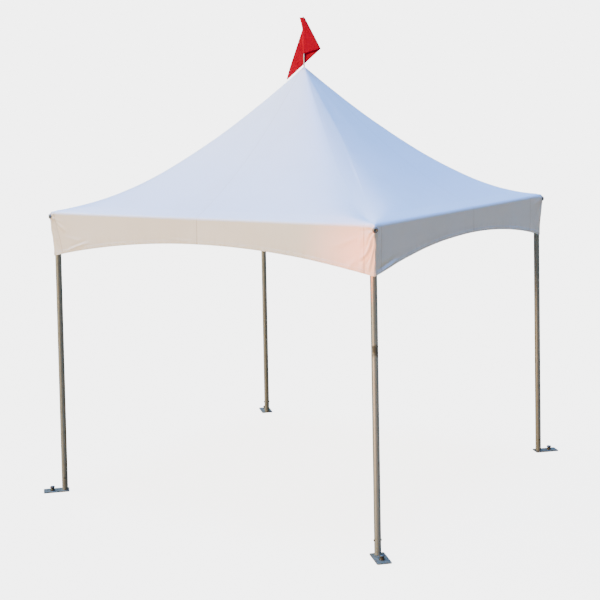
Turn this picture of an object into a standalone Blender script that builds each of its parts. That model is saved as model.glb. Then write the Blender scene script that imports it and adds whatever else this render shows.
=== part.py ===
"""A high-peak marquee tent: four tube legs on stake plates, an eave frame with a cable-held centre
mast, a concave four-sided canopy with arched valances, and a pennant on a rod.

Metres, +Z up. The origin is at ground level, under the peak. The front side faces -Y.
"""
import math

import bmesh
import bpy
from mathutils import Matrix, Vector

# Frame
EAVE_SPACING = 3.000
LEG_INSET = 0.010
FOOT_SPLAY = 0.040
TUBE_RADIUS = 0.0254
TUBE_WALL = 0.0030
SPIGOT_RADIUS = 0.0220
RAIL_HEIGHT = 2.361
COLLAR_RADIUS = 0.0240
COLLAR_REACH = 0.090
SPIGOT_REACH = 0.190
HUB_DROP = 0.101
HUB_RISE = 0.0205
SEAT_GAP = 0.0003

# Base plates, stakes and foot bolts
PLATE_INNER = 0.036
PLATE_OUTER = 0.179
PLATE_WIDTH = 0.110
PLATE_THICKNESS = 0.008
PLATE_CORNER = 0.010
PLATE_STUB_HEIGHT = 0.160
STAKE_OFFSET = 0.105
STAKE_RADIUS = 0.0135
STAKE_HOLE_RADIUS = 0.0142
STAKE_HEIGHT = 0.046
FOOT_BOLT_HEIGHT = 0.115
FOOT_BOLT_RADIUS = 0.0040
FOOT_BOLT_HOLE = 0.0043

# Canopy
CLOTH = 0.0030
CLOTH_GAP = 0.0006
PEAK_HEIGHT = 3.540
EAVE_PITCH = math.radians(26.0)
HIP_ROUNDING = 0.2265
HIP_FADE = 6
PEAK_OPENING = 0.0095
ROOF_LIP = 0.0040
PANEL_START = 0.0040
CORNER_DEPTH = 0.341
MIDDLE_DEPTH = 0.184
CORNER_BOLT_DROP = 0.016
CORNER_BOLT_SHANK = 0.0060

# Mast and cables
CABLE_RADIUS = 0.0040
EAR_THICKNESS = 0.0060
EAR_HOLE = 0.0054
PIN_RADIUS = 0.0050
CORNER_PIN_REACH = 0.060
CORNER_PIN_DROP = 0.061
FOOT_HEIGHT = 2.190
FOOT_PIN_REACH = 0.055
MAST_HEAD_RADIUS = 0.055
HEAD_GAP = 0.0008
ROD_RADIUS = 0.0055
ROD_HOLE = 0.0058
ROD_SOCKET_DEPTH = 0.060

# Pennant
PENNANT_TOP = 3.942
PENNANT_HOIST = 0.300
PENNANT_FLY = 0.530
PENNANT_CLOTH = 0.0020
PENNANT_YAW = math.radians(33.0)
SLEEVE_GAP = 0.0016
SLEEVE_WRAP = math.radians(225.0)
SLEEVE_FLARE = 0.014
FOLD_ANGLE = math.radians(61.5)
FOLD_START = -0.004
FOLD_RADIUS_TOP = 0.0165
FOLD_RADIUS_LOW = 0.0060
FOLD_SPREAD = 0.08

# Fineness of the meshes
ROUND_STEPS = 20
SMALL_STEPS = 14
SIDE_STEPS = 10
CORNER_STEPS = 5
ROOF_RINGS = 11
ROLL_STEPS = 4

HALF = EAVE_SPACING / 2
DIAGONAL = HALF * math.sqrt(2)
FOOT_DIAGONAL = DIAGONAL + FOOT_SPLAY
LEG_LENGTH = math.hypot(RAIL_HEIGHT, FOOT_SPLAY + LEG_INSET)
LEG_LEAN = math.asin((FOOT_SPLAY + LEG_INSET) / LEG_LENGTH)
ROLL_RADIUS = TUBE_RADIUS + CLOTH_GAP + CLOTH
EAVE_HALF = HALF + ROLL_RADIUS * math.sin(EAVE_PITCH)
EAVE_HEIGHT = RAIL_HEIGHT + ROLL_RADIUS * math.cos(EAVE_PITCH)
ROOF_BEND = (PEAK_HEIGHT - EAVE_HEIGHT) - math.tan(EAVE_PITCH) * EAVE_HALF
ROOF_FALL = (PEAK_HEIGHT - EAVE_HEIGHT) + ROOF_BEND
CORNERS = {"front_left": 225.0, "front_right": 315.0, "back_right": 45.0, "back_left": 135.0}
SIDES = {"front": 0.0, "right": 90.0, "back": 180.0, "left": 270.0}

COLOURS = {
    "aluminium": ((0.62, 0.58, 0.50, 1.0), 0.38, 1.0),
    "galvanised": ((0.42, 0.46, 0.50, 1.0), 0.45, 1.0),
    "dark_steel": ((0.16, 0.15, 0.12, 1.0), 0.50, 1.0),
    "cable_steel": ((0.50, 0.50, 0.50, 1.0), 0.35, 1.0),
    "vinyl": ((0.80, 0.80, 0.80, 1.0), 0.45, 0.0),
    "red_nylon": ((0.62, 0.02, 0.02, 1.0), 0.60, 0.0),
}


def clear_scene():
    """Remove the objects of the scene that the script opens in."""
    for old in list(bpy.data.objects):
        bpy.data.objects.remove(old, do_unlink=True)


def new_collection(name):
    """Make a collection and link it to the scene."""
    collection = bpy.data.collections.new(name)
    bpy.context.scene.collection.children.link(collection)
    return collection


def new_material(name, finish):
    """Make a Principled BSDF material from one of the listed finishes."""
    colour, roughness, metallic = COLOURS[finish]
    material = bpy.data.materials.new(name)
    material.use_nodes = True
    shader = material.node_tree.nodes["Principled BSDF"]
    shader.inputs["Base Color"].default_value = colour
    shader.inputs["Roughness"].default_value = roughness
    shader.inputs["Metallic"].default_value = metallic
    return material


def mesh_from(name, fill):
    """Make a mesh from what a function puts into a bmesh."""
    work = bmesh.new()
    fill(work)
    mesh = bpy.data.meshes.new(name)
    work.to_mesh(mesh)
    work.free()
    return mesh


def profile_mesh(name, points, closed):
    """Make a profile of (radius, height) points, to be turned about Z."""
    def fill(work):
        verts = [work.verts.new((radius, 0.0, height)) for radius, height in points]
        for first, second in zip(verts, verts[1:]):
            work.edges.new((first, second))
        if closed:
            work.edges.new((verts[-1], verts[0]))
    return mesh_from(name, fill)


def box_mesh(name, low, high):
    """Make a box between two corners."""
    size = Vector(high) - Vector(low)
    middle = (Vector(high) + Vector(low)) / 2

    def fill(work):
        place = Matrix.Translation(middle) @ Matrix.Diagonal((*size, 1.0))
        bmesh.ops.create_cube(work, size=1.0, matrix=place)
    return mesh_from(name, fill)


def rod_mesh(name, radius, low, high, steps=SMALL_STEPS):
    """Make a round bar along Z between two heights."""
    def fill(work):
        bmesh.ops.create_cone(
            work, cap_ends=True, segments=steps, radius1=radius, radius2=radius,
            depth=high - low, matrix=Matrix.Translation((0.0, 0.0, (low + high) / 2)),
        )
    return mesh_from(name, fill)


def tube_mesh(name, radius, wall, low, high):
    """Make the closed profile of a tube along Z, to be turned."""
    inner = radius - wall
    return profile_mesh(name, [(radius, high), (radius, low), (inner, low), (inner, high)], True)


def add_object(name, mesh, collection, place=None):
    """Add an object with a mesh at a place given as a matrix."""
    item = bpy.data.objects.new(name, mesh)
    item.matrix_world = place or Matrix.Identity(4)
    collection.objects.link(item)
    return item


def add_cutter(name, mesh, collection, place=None):
    """Add a helper object that only takes part in Booleans."""
    item = add_object(name, mesh, collection, place)
    item.hide_render = True
    item.display_type = "WIRE"
    return item


def turn(item, steps=ROUND_STEPS):
    """Turn an object's profile about its Z axis."""
    screw = item.modifiers.new("turn", "SCREW")
    screw.axis = "Z"
    screw.angle = math.tau
    screw.steps = steps
    screw.render_steps = steps
    screw.use_merge_vertices = True
    screw.merge_threshold = 0.00005
    screw.use_smooth_shade = True
    return item


def boolean(item, other, operation):
    """Join another object to this one or cut it out of it."""
    modifier = item.modifiers.new(operation.lower(), "BOOLEAN")
    modifier.operation = operation
    modifier.solver = "EXACT"
    modifier.object = other


def finish(item, material):
    """Give a part its material."""
    item.data.materials.clear()
    item.data.materials.append(material)
    return item


def spin(degrees):
    """Rotation about the vertical through the origin."""
    return Matrix.Rotation(math.radians(degrees), 4, "Z")


def corner_frame(degrees):
    """Frame under an eave corner: X points diagonally outward and Z up."""
    return spin(degrees) @ Matrix.Translation((DIAGONAL, 0.0, 0.0))


def foot_frame(degrees):
    """Frame on the ground under a leg's foot: X points diagonally outward and Z up."""
    return spin(degrees) @ Matrix.Translation((FOOT_DIAGONAL, 0.0, 0.0))


def leg_frame(degrees):
    """Frame at a leg's foot with Z along the leg, which leans slightly inward."""
    return foot_frame(degrees) @ Matrix.Rotation(-LEG_LEAN, 4, "Y")


def along_x(height):
    """Turn a Z-long shape so that it points along +X, at a height."""
    return Matrix.Translation((0.0, 0.0, height)) @ Matrix.Rotation(math.pi / 2, 4, "Y")


def along_y(x, height):
    """Turn a Z-long shape so that it lies across X, at a height."""
    return Matrix.Translation((x, 0.0, height)) @ Matrix.Rotation(math.pi / 2, 4, "X")


def roof_height(x, y):
    """Height of the roof's outer skin above a point of the plan.

    The middle of each side falls on a parabola from the peak to the eave. Towards a hip the height
    lines are rounded off as a power curve, which sharpens to the straight eave at the edge.
    """
    far = max(abs(x), abs(y))
    near = min(abs(x), abs(y))
    reach = far / EAVE_HALF
    rounding = HIP_ROUNDING * (1.0 - min(reach, 1.0) ** HIP_FADE)
    distance = reach
    if rounding > 0.01 and far > 0.0:
        distance = reach * (1.0 + (near / far) ** (1.0 / rounding)) ** rounding
    return PEAK_HEIGHT - ROOF_FALL * distance + ROOF_BEND * distance ** 2


def rounded_square(half, corner):
    """Plan points of a square with rounded corners, counterclockwise seen from above."""
    points = []
    straight = half - corner
    for side in range(4):
        turn_side = Matrix.Rotation(side * math.pi / 2, 2)
        for step in range(SIDE_STEPS):
            x = straight * (2.0 * step / SIDE_STEPS - 1.0)
            points.append(turn_side @ Vector((x, -half)))
        for step in range(CORNER_STEPS):
            angle = math.pi / 2 * step / CORNER_STEPS
            offset = Vector((math.sin(angle), -math.cos(angle))) * corner
            points.append(turn_side @ (Vector((straight, -straight)) + offset))
    return points


def roof_rings():
    """Rings of the roof from the peak's opening down round the eave rail to an upright lip."""
    rings = []
    eave_corner = ROLL_RADIUS * math.sin(EAVE_PITCH)
    for step in range(ROOF_RINGS + 1):
        half = PEAK_OPENING + (EAVE_HALF - PEAK_OPENING) * step / ROOF_RINGS
        share = half / EAVE_HALF
        corner = eave_corner * share + half * 0.5 * (1.0 - share)
        rings.append([Vector((x, y, roof_height(x, y))) for x, y in rounded_square(half, corner)])
    for step in range(1, ROLL_STEPS + 1):
        angle = EAVE_PITCH + (math.pi / 2 - EAVE_PITCH) * step / ROLL_STEPS
        offset = ROLL_RADIUS * math.sin(angle)
        height = RAIL_HEIGHT + ROLL_RADIUS * math.cos(angle)
        rings.append([Vector((x, y, height)) for x, y in rounded_square(HALF + offset, offset)])
    low_edge = RAIL_HEIGHT - ROOF_LIP
    rings.append([Vector((x, y, low_edge)) for x, y in rounded_square(HALF + ROLL_RADIUS, ROLL_RADIUS)])
    return rings


def valance_path():
    """Plan points of the front valance: round the front left corner and along the side."""
    points = [(-HALF - ROLL_RADIUS, -HALF + PANEL_START)]
    for step in range(CORNER_STEPS):
        angle = math.pi / 2 * step / CORNER_STEPS
        points.append((-HALF - ROLL_RADIUS * math.cos(angle), -HALF - ROLL_RADIUS * math.sin(angle)))
    end = HALF - PANEL_START - SEAT_GAP
    steps = 2 * SIDE_STEPS
    for step in range(steps + 1):
        points.append((-HALF + (end + HALF) * step / steps, -HALF - ROLL_RADIUS))
    return points


def valance_depth(x):
    """Depth of the valance below the rail's axis: a shallow arch between the corners."""
    share = min(abs(x) / HALF, 1.0)
    return MIDDLE_DEPTH + (CORNER_DEPTH - MIDDLE_DEPTH) * share ** 2


def strip_faces(work, rows, closed=False):
    """Join rows of points with quads."""
    grid = [[work.verts.new(point) for point in row] for row in rows]
    for lower, upper in zip(grid, grid[1:]):
        count = len(lower)
        for index in range(count if closed else count - 1):
            following = (index + 1) % count
            work.faces.new((lower[index], upper[index], upper[following], lower[following]))


def solidify(item, thickness, offset):
    """Give an open skin its thickness."""
    modifier = item.modifiers.new("thickness", "SOLIDIFY")
    modifier.thickness = thickness
    modifier.offset = offset
    modifier.use_even_offset = True
    modifier.use_rim = True


def pennant_point(across, drop):
    """Place of a point of the flat pennant, folded once and hung from the rod.

    across runs from the hoist to the fly, drop from the top down. Negative across is the sleeve
    that wraps the rod. In the result X points to the fold, Y to the back layer and Z up.
    """
    sleeve = ROD_RADIUS + SLEEVE_GAP + PENNANT_CLOTH / 2
    if across <= 0.0:
        angle = -math.pi / 2 + across / sleeve
        flare = SLEEVE_FLARE * max(0.0, 1.0 - drop / 0.12) ** 1.5
        width = sleeve + (flare if math.cos(angle) < 0.0 else 0.0)
        return Vector((width * math.cos(angle), sleeve * math.sin(angle), PENNANT_TOP - drop))
    along = Vector((math.cos(FOLD_ANGLE), -math.sin(FOLD_ANGLE)))
    normal = Vector((math.sin(FOLD_ANGLE), math.cos(FOLD_ANGLE)))
    point = Vector((across - FOLD_START, -drop))
    beyond = point.dot(normal)
    crease = along * point.dot(along) + Vector((FOLD_START, 0.0))
    share = min(max(point.dot(along) / PENNANT_HOIST, 0.0), 1.0)
    radius = FOLD_RADIUS_TOP + (FOLD_RADIUS_LOW - FOLD_RADIUS_TOP) * share
    turned = math.pi * radius
    if beyond <= 0.0:
        flat = crease + normal * beyond
        depth = 0.0
    elif beyond < turned:
        angle = beyond / radius
        flat = crease + normal * (radius * math.sin(angle))
        depth = radius * (1.0 - math.cos(angle))
    else:
        flat = crease - normal * (beyond - turned)
        depth = 2.0 * radius + FOLD_SPREAD * (beyond - turned)
    return Vector((flat.x, depth - sleeve, PENNANT_TOP + flat.y))


def pennant_rows():
    """Columns of the pennant's surface, from inside the sleeve to the tip."""
    wrap = SLEEVE_WRAP * (ROD_RADIUS + SLEEVE_GAP + PENNANT_CLOTH / 2)
    stations = [-wrap * (1.0 - step / 8) for step in range(8)]
    stations += [PENNANT_FLY * 0.97 * step / 36 for step in range(37)]
    rows = []
    for across in stations:
        taper = PENNANT_HOIST / 2 * max(across, 0.0) / PENNANT_FLY
        height = PENNANT_HOIST - 2.0 * taper
        rows.append([pennant_point(across, taper + height * step / 6) for step in range(7)])
    return rows


def make_base_plate(name, degrees, parts, cutters, material):
    """Plate with its welded stub for the leg and its hole for the stake."""
    def fill(work):
        low = Vector((-PLATE_INNER, -PLATE_WIDTH / 2, 0.0))
        high = Vector((PLATE_OUTER, PLATE_WIDTH / 2, PLATE_THICKNESS))
        size = high - low
        place = Matrix.Translation((low + high) / 2) @ Matrix.Diagonal((*size, 1.0))
        bmesh.ops.create_cube(work, size=1.0, matrix=place)
        upright = [edge for edge in work.edges if abs(edge.verts[0].co.z - edge.verts[1].co.z) > 0.001]
        bmesh.ops.bevel(work, geom=upright, offset=PLATE_CORNER, segments=3, profile=0.5,
                        affect="EDGES")
    place = foot_frame(degrees)
    plate = add_object(f"base_plate_{name}", mesh_from("base_plate", fill), parts, place)
    stub = add_cutter(f"stub_{name}", rod_mesh("stub", SPIGOT_RADIUS, 0.002, PLATE_STUB_HEIGHT, ROUND_STEPS),
                      cutters, leg_frame(degrees))
    stake_place = place @ Matrix.Translation((STAKE_OFFSET, 0.0, 0.0))
    hole = add_cutter(f"stake_hole_{name}", rod_mesh("stake_hole", STAKE_HOLE_RADIUS, -0.01, 0.02),
                      cutters, stake_place)
    bolt_hole = foot_bolt_hole(name, leg_frame(degrees), cutters)
    boolean(plate, stub, "UNION")
    boolean(plate, hole, "DIFFERENCE")
    boolean(plate, bolt_hole, "DIFFERENCE")
    finish(plate, material)
    return bolt_hole


def foot_bolt_hole(name, place, cutters):
    """Cutter for the bolt through the leg's foot and the plate's stub."""
    mesh = rod_mesh("foot_bolt_hole", FOOT_BOLT_HOLE, -0.05, 0.05)
    return add_cutter(f"foot_bolt_hole_{name}", mesh, cutters, place @ along_y(0.0, FOOT_BOLT_HEIGHT))


def make_leg(name, degrees, parts, bolt_hole, material):
    """Round tube from the base plate up to the corner fitting."""
    low = PLATE_THICKNESS + SEAT_GAP + TUBE_RADIUS * math.tan(LEG_LEAN)
    high = LEG_LENGTH - HUB_DROP - SEAT_GAP
    leg = add_object(f"leg_{name}", tube_mesh("leg", TUBE_RADIUS, TUBE_WALL, low, high), parts,
                     leg_frame(degrees) @ spin(180.0 / ROUND_STEPS))
    turn(leg)
    boolean(leg, bolt_hole, "DIFFERENCE")
    finish(leg, material)


def make_base_bolt(name, degrees, parts, material):
    """Button-headed bolt through the leg's foot."""
    head = TUBE_RADIUS + 0.0004
    profile = [
        (0.0, head + 0.0050), (0.0050, head + 0.0046), (0.0078, head + 0.0020), (0.0078, head),
        (FOOT_BOLT_RADIUS, head), (FOOT_BOLT_RADIUS, -head), (0.0070, -head),
        (0.0070, -head - 0.0050), (0.0, -head - 0.0050),
    ]
    place = leg_frame(degrees) @ along_y(0.0, FOOT_BOLT_HEIGHT)
    bolt = add_object(f"base_bolt_{name}", profile_mesh("base_bolt", profile, False), parts, place)
    turn(bolt, SMALL_STEPS)
    finish(bolt, material)


def make_stake(name, degrees, parts, material):
    """Stake from ground level up: shank, stop collar, neck and mushroomed head."""
    seat = PLATE_THICKNESS + SEAT_GAP
    profile = [
        (0.0, STAKE_HEIGHT), (0.0110, STAKE_HEIGHT - 0.0010), (0.0190, STAKE_HEIGHT - 0.0045),
        (0.0220, STAKE_HEIGHT - 0.0095), (0.0205, STAKE_HEIGHT - 0.0140), (0.0165, STAKE_HEIGHT - 0.0170),
        (0.0165, seat + 0.0060), (0.0205, seat + 0.0045), (0.0205, seat), (STAKE_RADIUS, seat),
        (STAKE_RADIUS, 0.0), (0.0, 0.0),
    ]
    place = foot_frame(degrees) @ Matrix.Translation((STAKE_OFFSET, 0.0, 0.0))
    stake = add_object(f"stake_{name}", profile_mesh("stake", profile, False), parts, place)
    turn(stake, SMALL_STEPS)
    finish(stake, material)


def make_corner_fitting(name, degrees, parts, cutters, material):
    """Ball-topped hub with two rail arms, a spigot for the leg and an ear for the cable."""
    ball_steps = 6
    profile = [
        (TUBE_RADIUS * math.sin(math.pi / 2 * step / ball_steps),
         HUB_RISE * math.cos(math.pi / 2 * step / ball_steps)) for step in range(ball_steps + 1)
    ]
    profile[0] = (0.0, HUB_RISE)
    profile += [
        (TUBE_RADIUS, -HUB_DROP), (SPIGOT_RADIUS, -HUB_DROP), (SPIGOT_RADIUS, -HUB_DROP - 0.140),
        (0.0, -HUB_DROP - 0.140),
    ]
    hub_place = leg_frame(degrees) @ Matrix.Translation((0.0, 0.0, LEG_LENGTH))
    fitting = add_object(f"corner_fitting_{name}", profile_mesh("corner_fitting", profile, False),
                         parts, hub_place)
    turn(fitting)

    place = corner_frame(degrees) @ Matrix.Translation((0.0, 0.0, RAIL_HEIGHT))

    arm_profile = [
        (0.0, SPIGOT_REACH), (SPIGOT_RADIUS, SPIGOT_REACH), (SPIGOT_RADIUS, COLLAR_REACH),
        (COLLAR_RADIUS, COLLAR_REACH), (COLLAR_RADIUS, 0.0), (0.0, 0.0),
    ]
    for side, heading in (("a", 135.0), ("b", 225.0)):
        arm = add_cutter(f"arm_{side}_{name}", profile_mesh("arm", arm_profile, False), cutters,
                         place @ spin(heading) @ along_x(0.0))
        turn(arm)
        boolean(fitting, arm, "UNION")

    ear_low = (-CORNER_PIN_REACH - 0.016, -EAR_THICKNESS / 2, -CORNER_PIN_DROP - 0.020)
    ear_high = (-0.005, EAR_THICKNESS / 2, -CORNER_PIN_DROP + 0.020)
    ear = add_cutter(f"corner_ear_{name}", box_mesh("corner_ear", ear_low, ear_high), cutters, place)
    boolean(fitting, ear, "UNION")

    pin_hole = add_cutter(f"corner_pin_hole_{name}", rod_mesh("corner_pin_hole", EAR_HOLE, -0.02, 0.02),
                          cutters, place @ along_y(-CORNER_PIN_REACH, -CORNER_PIN_DROP))
    boolean(fitting, pin_hole, "DIFFERENCE")
    bolt_hole = add_cutter(
        f"corner_bolt_hole_{name}", rod_mesh("corner_bolt_hole", CORNER_BOLT_SHANK + SEAT_GAP, -0.0010, 0.06),
        cutters, place @ along_x(-CORNER_BOLT_DROP),
    )
    boolean(fitting, bolt_hole, "DIFFERENCE")
    finish(fitting, material)


def make_corner_bolt(name, degrees, parts, material):
    """Hollow-headed bolt and washer that button the canopy's corner to the fitting."""
    washer = ROLL_RADIUS + 0.0005
    profile = [
        (0.0, washer + 0.0060), (0.0085, washer + 0.0060), (0.0100, washer + 0.0165),
        (0.0130, washer + 0.0165), (0.0150, washer + 0.0145), (0.0150, washer + 0.0028),
        (0.0200, washer + 0.0028), (0.0200, washer), (CORNER_BOLT_SHANK, washer),
        (CORNER_BOLT_SHANK, 0.0), (0.0, 0.0),
    ]
    place = corner_frame(degrees) @ along_x(RAIL_HEIGHT - CORNER_BOLT_DROP)
    bolt = add_object(f"corner_bolt_{name}", profile_mesh("corner_bolt", profile, False), parts, place)
    turn(bolt, SMALL_STEPS)
    finish(bolt, material)


def make_eave_rail(name, degrees, parts, material):
    """Tube between two corner fittings."""
    half = HALF - COLLAR_REACH - SEAT_GAP
    place = spin(degrees) @ Matrix.Translation((0.0, -HALF, 0.0)) @ along_x(RAIL_HEIGHT)
    rail = add_object(f"eave_rail_{name}", tube_mesh("eave_rail", TUBE_RADIUS, TUBE_WALL, -half, half),
                      parts, place)
    turn(rail)
    finish(rail, material)


def make_brace_cable(name, degrees, parts, cutters, material):
    """Taut steel cable with a forked, pinned terminal at each end."""
    start = Vector((DIAGONAL - CORNER_PIN_REACH, 0.0, RAIL_HEIGHT - CORNER_PIN_DROP))
    end = Vector((FOOT_PIN_REACH, 0.0, FOOT_HEIGHT))
    length = (end - start).length
    fall = math.asin((start.z - end.z) / length)
    place = spin(degrees) @ Matrix.Translation(end) @ Matrix.Rotation(-fall, 4, "Y")

    rope_profile = rod_mesh("brace_cable", CABLE_RADIUS, 0.060, length - 0.060, 10)
    rope_profile.transform(Matrix.Rotation(math.pi / 2, 4, "Y"))
    cable = add_object(f"brace_cable_{name}", rope_profile, parts, place)
    for tag, root, heading in (("foot", 0.0, 1.0), ("corner", length, -1.0)):
        seat = place @ Matrix.Translation((root, 0.0, 0.0)) @ Matrix.Rotation(
            0.0 if heading > 0.0 else math.pi, 4, "Z")
        fork = add_cutter(f"fork_{tag}_{name}", box_mesh("fork", (-0.010, -0.008, -0.010), (0.036, 0.008, 0.010)),
                          cutters, seat)
        slot = add_cutter(f"slot_{tag}_{name}", box_mesh("slot", (-0.020, -0.0037, -0.020), (0.020, 0.0037, 0.020)),
                          cutters, seat)
        swage = add_cutter(f"swage_{tag}_{name}", rod_mesh("swage", 0.0075, 0.030, 0.095, 10), cutters,
                           seat @ along_x(0.0))
        pin = add_cutter(f"pin_{tag}_{name}", rod_mesh("pin", PIN_RADIUS, -0.0115, 0.0115, 10), cutters,
                         seat @ along_y(0.0, 0.0))
        boolean(fork, slot, "DIFFERENCE")
        boolean(fork, pin, "UNION")
        boolean(cable, swage, "UNION")
        boolean(cable, fork, "UNION")
    finish(cable, material)


def make_mast_foot(parts, cutters, material):
    """Boss that hangs on the four cables and carries the mast."""
    profile = [
        (0.0, 0.110), (SPIGOT_RADIUS, 0.110), (SPIGOT_RADIUS, 0.030), (0.032, 0.030),
        (0.032, -0.024), (0.028, -0.030), (0.0, -0.030),
    ]
    centre = Matrix.Translation((0.0, 0.0, FOOT_HEIGHT))
    foot = add_object("mast_foot", profile_mesh("mast_foot", profile, False), parts, centre)
    turn(foot)
    for degrees in CORNERS.values():
        place = spin(degrees) @ centre
        ear = add_cutter(f"foot_ear_{degrees:.0f}", box_mesh(
            "foot_ear", (0.010, -EAR_THICKNESS / 2, -0.016), (FOOT_PIN_REACH + 0.016, EAR_THICKNESS / 2, 0.016)),
            cutters, place)
        hole = add_cutter(f"foot_pin_hole_{degrees:.0f}", rod_mesh("foot_pin_hole", EAR_HOLE, -0.02, 0.02),
                          cutters, place @ along_y(FOOT_PIN_REACH, 0.0))
        boolean(foot, ear, "UNION")
        boolean(foot, hole, "DIFFERENCE")
    finish(foot, material)


def head_height(radius):
    """Height of the mast head's dome, just under the canopy's inner side."""
    steep = math.atan(ROOF_FALL / EAVE_HALF)
    return roof_height(radius, 0.0) - CLOTH / math.cos(steep) - HEAD_GAP


def make_mast(parts, tube_material, head_material):
    """Mast tube with its domed head, which lifts the canopy and holds the flag rod."""
    dome = [head_height(radius) for radius in (ROD_HOLE, 0.020, 0.038, MAST_HEAD_RADIUS)]
    shoulder = dome[-1] - 0.022
    socket = dome[0] - ROD_SOCKET_DEPTH
    profile = [
        (0.0, socket), (ROD_HOLE, socket), (ROD_HOLE, dome[0]), (0.020, dome[1]), (0.038, dome[2]),
        (MAST_HEAD_RADIUS, dome[3]), (MAST_HEAD_RADIUS, dome[3] - 0.006), (0.034, shoulder),
        (SPIGOT_RADIUS, shoulder), (SPIGOT_RADIUS, shoulder - 0.080), (0.0, shoulder - 0.080),
    ]
    head = add_object("mast_head", profile_mesh("mast_head", profile, False), parts)
    turn(head)
    finish(head, head_material)

    low = FOOT_HEIGHT + 0.030 + SEAT_GAP
    mast = add_object("mast", tube_mesh("mast", TUBE_RADIUS, TUBE_WALL, low, shoulder - SEAT_GAP), parts)
    turn(mast)
    finish(mast, tube_material)
    return socket


def make_flag_rod(socket, parts, material):
    """Thin rod that stands in the mast's head and carries the pennant."""
    top = PENNANT_TOP + 0.006
    profile = [
        (0.0, top), (ROD_RADIUS - 0.002, top), (ROD_RADIUS, top - 0.002),
        (ROD_RADIUS, socket + SEAT_GAP), (0.0, socket + SEAT_GAP),
    ]
    rod = add_object("flag_rod", profile_mesh("flag_rod", profile, False), parts)
    turn(rod, SMALL_STEPS)
    finish(rod, material)


def make_pennant(parts, material):
    """Triangular pennant, folded once beside the rod, with a sleeve round it."""
    mesh = mesh_from("pennant", lambda work: strip_faces(work, pennant_rows()))
    pennant = add_object("pennant", mesh, parts, Matrix.Rotation(PENNANT_YAW, 4, "Z"))
    solidify(pennant, PENNANT_CLOTH, 0.0)
    finish(pennant, material)


def make_canopy(parts, cutters, material):
    """Roof skin and the four valance panels that hang from its edge."""
    mesh = mesh_from("canopy_roof", lambda work: strip_faces(work, roof_rings(), closed=True))
    roof = add_object("canopy_roof", mesh, parts)
    solidify(roof, CLOTH, -1.0)
    roof.data.shade_smooth()
    finish(roof, material)

    top = RAIL_HEIGHT - ROOF_LIP - SEAT_GAP
    path = valance_path()
    upper = [Vector((x, y, top)) for x, y in path]
    lower = [Vector((x, y, RAIL_HEIGHT - valance_depth(x))) for x, y in path]
    for name, degrees in SIDES.items():
        mesh = mesh_from("valance", lambda work: strip_faces(work, [upper, lower]))
        panel = add_object(f"valance_{name}", mesh, parts, spin(degrees))
        solidify(panel, CLOTH, -1.0)
        hole_place = spin(degrees) @ corner_frame(CORNERS["front_left"]) @ along_x(RAIL_HEIGHT - CORNER_BOLT_DROP)
        hole = add_cutter(f"grommet_hole_{name}", rod_mesh("grommet_hole", CORNER_BOLT_SHANK + 0.0015, 0.0, 0.06),
                          cutters, hole_place)
        boolean(panel, hole, "DIFFERENCE")
        finish(panel, material)


def main():
    """Build the tent."""
    clear_scene()
    parts = new_collection("marquee_tent")
    cutters = new_collection("marquee_tent_cutters")
    metals = {name: new_material(name, name) for name in COLOURS}
    for name, degrees in CORNERS.items():
        bolt_hole = make_base_plate(name, degrees, parts, cutters, metals["galvanised"])
        make_leg(name, degrees, parts, bolt_hole, metals["aluminium"])
        make_base_bolt(name, degrees, parts, metals["dark_steel"])
        make_stake(name, degrees, parts, metals["dark_steel"])
        make_corner_fitting(name, degrees, parts, cutters, metals["aluminium"])
        make_corner_bolt(name, degrees, parts, metals["dark_steel"])
        make_brace_cable(name, degrees, parts, cutters, metals["cable_steel"])
    for name, degrees in SIDES.items():
        make_eave_rail(name, degrees, parts, metals["aluminium"])
    make_mast_foot(parts, cutters, metals["galvanised"])
    socket = make_mast(parts, metals["aluminium"], metals["galvanised"])
    make_flag_rod(socket, parts, metals["cable_steel"])
    make_pennant(parts, metals["red_nylon"])
    make_canopy(parts, cutters, metals["vinyl"])


main()
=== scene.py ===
"""Looks of the marquee tent: its cloth, hardware, finishes, studio and camera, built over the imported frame.

All sizes are in metres, in the frame of the CAD model: Z up, the ground at 0, the front along -Y.
"""

import math

import bmesh
import bpy
import numpy as np
from bpy.props import FloatProperty, FloatVectorProperty, IntProperty, PointerProperty
from bpy.types import Operator, Panel, PropertyGroup
from mathutils import Matrix, Vector


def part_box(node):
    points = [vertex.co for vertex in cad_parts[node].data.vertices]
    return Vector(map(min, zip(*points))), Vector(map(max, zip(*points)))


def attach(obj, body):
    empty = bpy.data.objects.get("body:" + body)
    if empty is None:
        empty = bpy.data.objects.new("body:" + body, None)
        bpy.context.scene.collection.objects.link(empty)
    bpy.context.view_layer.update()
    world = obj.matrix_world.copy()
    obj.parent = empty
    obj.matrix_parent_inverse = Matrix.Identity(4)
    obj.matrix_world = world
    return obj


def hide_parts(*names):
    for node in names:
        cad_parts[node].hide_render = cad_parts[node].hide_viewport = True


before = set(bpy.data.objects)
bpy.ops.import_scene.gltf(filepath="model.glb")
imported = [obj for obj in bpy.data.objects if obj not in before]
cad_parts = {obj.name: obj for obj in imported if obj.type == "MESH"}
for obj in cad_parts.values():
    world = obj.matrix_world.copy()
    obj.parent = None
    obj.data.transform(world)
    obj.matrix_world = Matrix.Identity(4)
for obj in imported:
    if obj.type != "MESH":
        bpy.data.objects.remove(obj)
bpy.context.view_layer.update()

bl_info = {
    "name": "Marquee Tent",
    "version": (1, 0, 0),
    "blender": (4, 5, 0),
    "location": "3D View > Sidebar > Tent",
    "description": "Builds the cloth, hardware and finishes of a peaked frame tent",
    "category": "Add Mesh",
}

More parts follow.
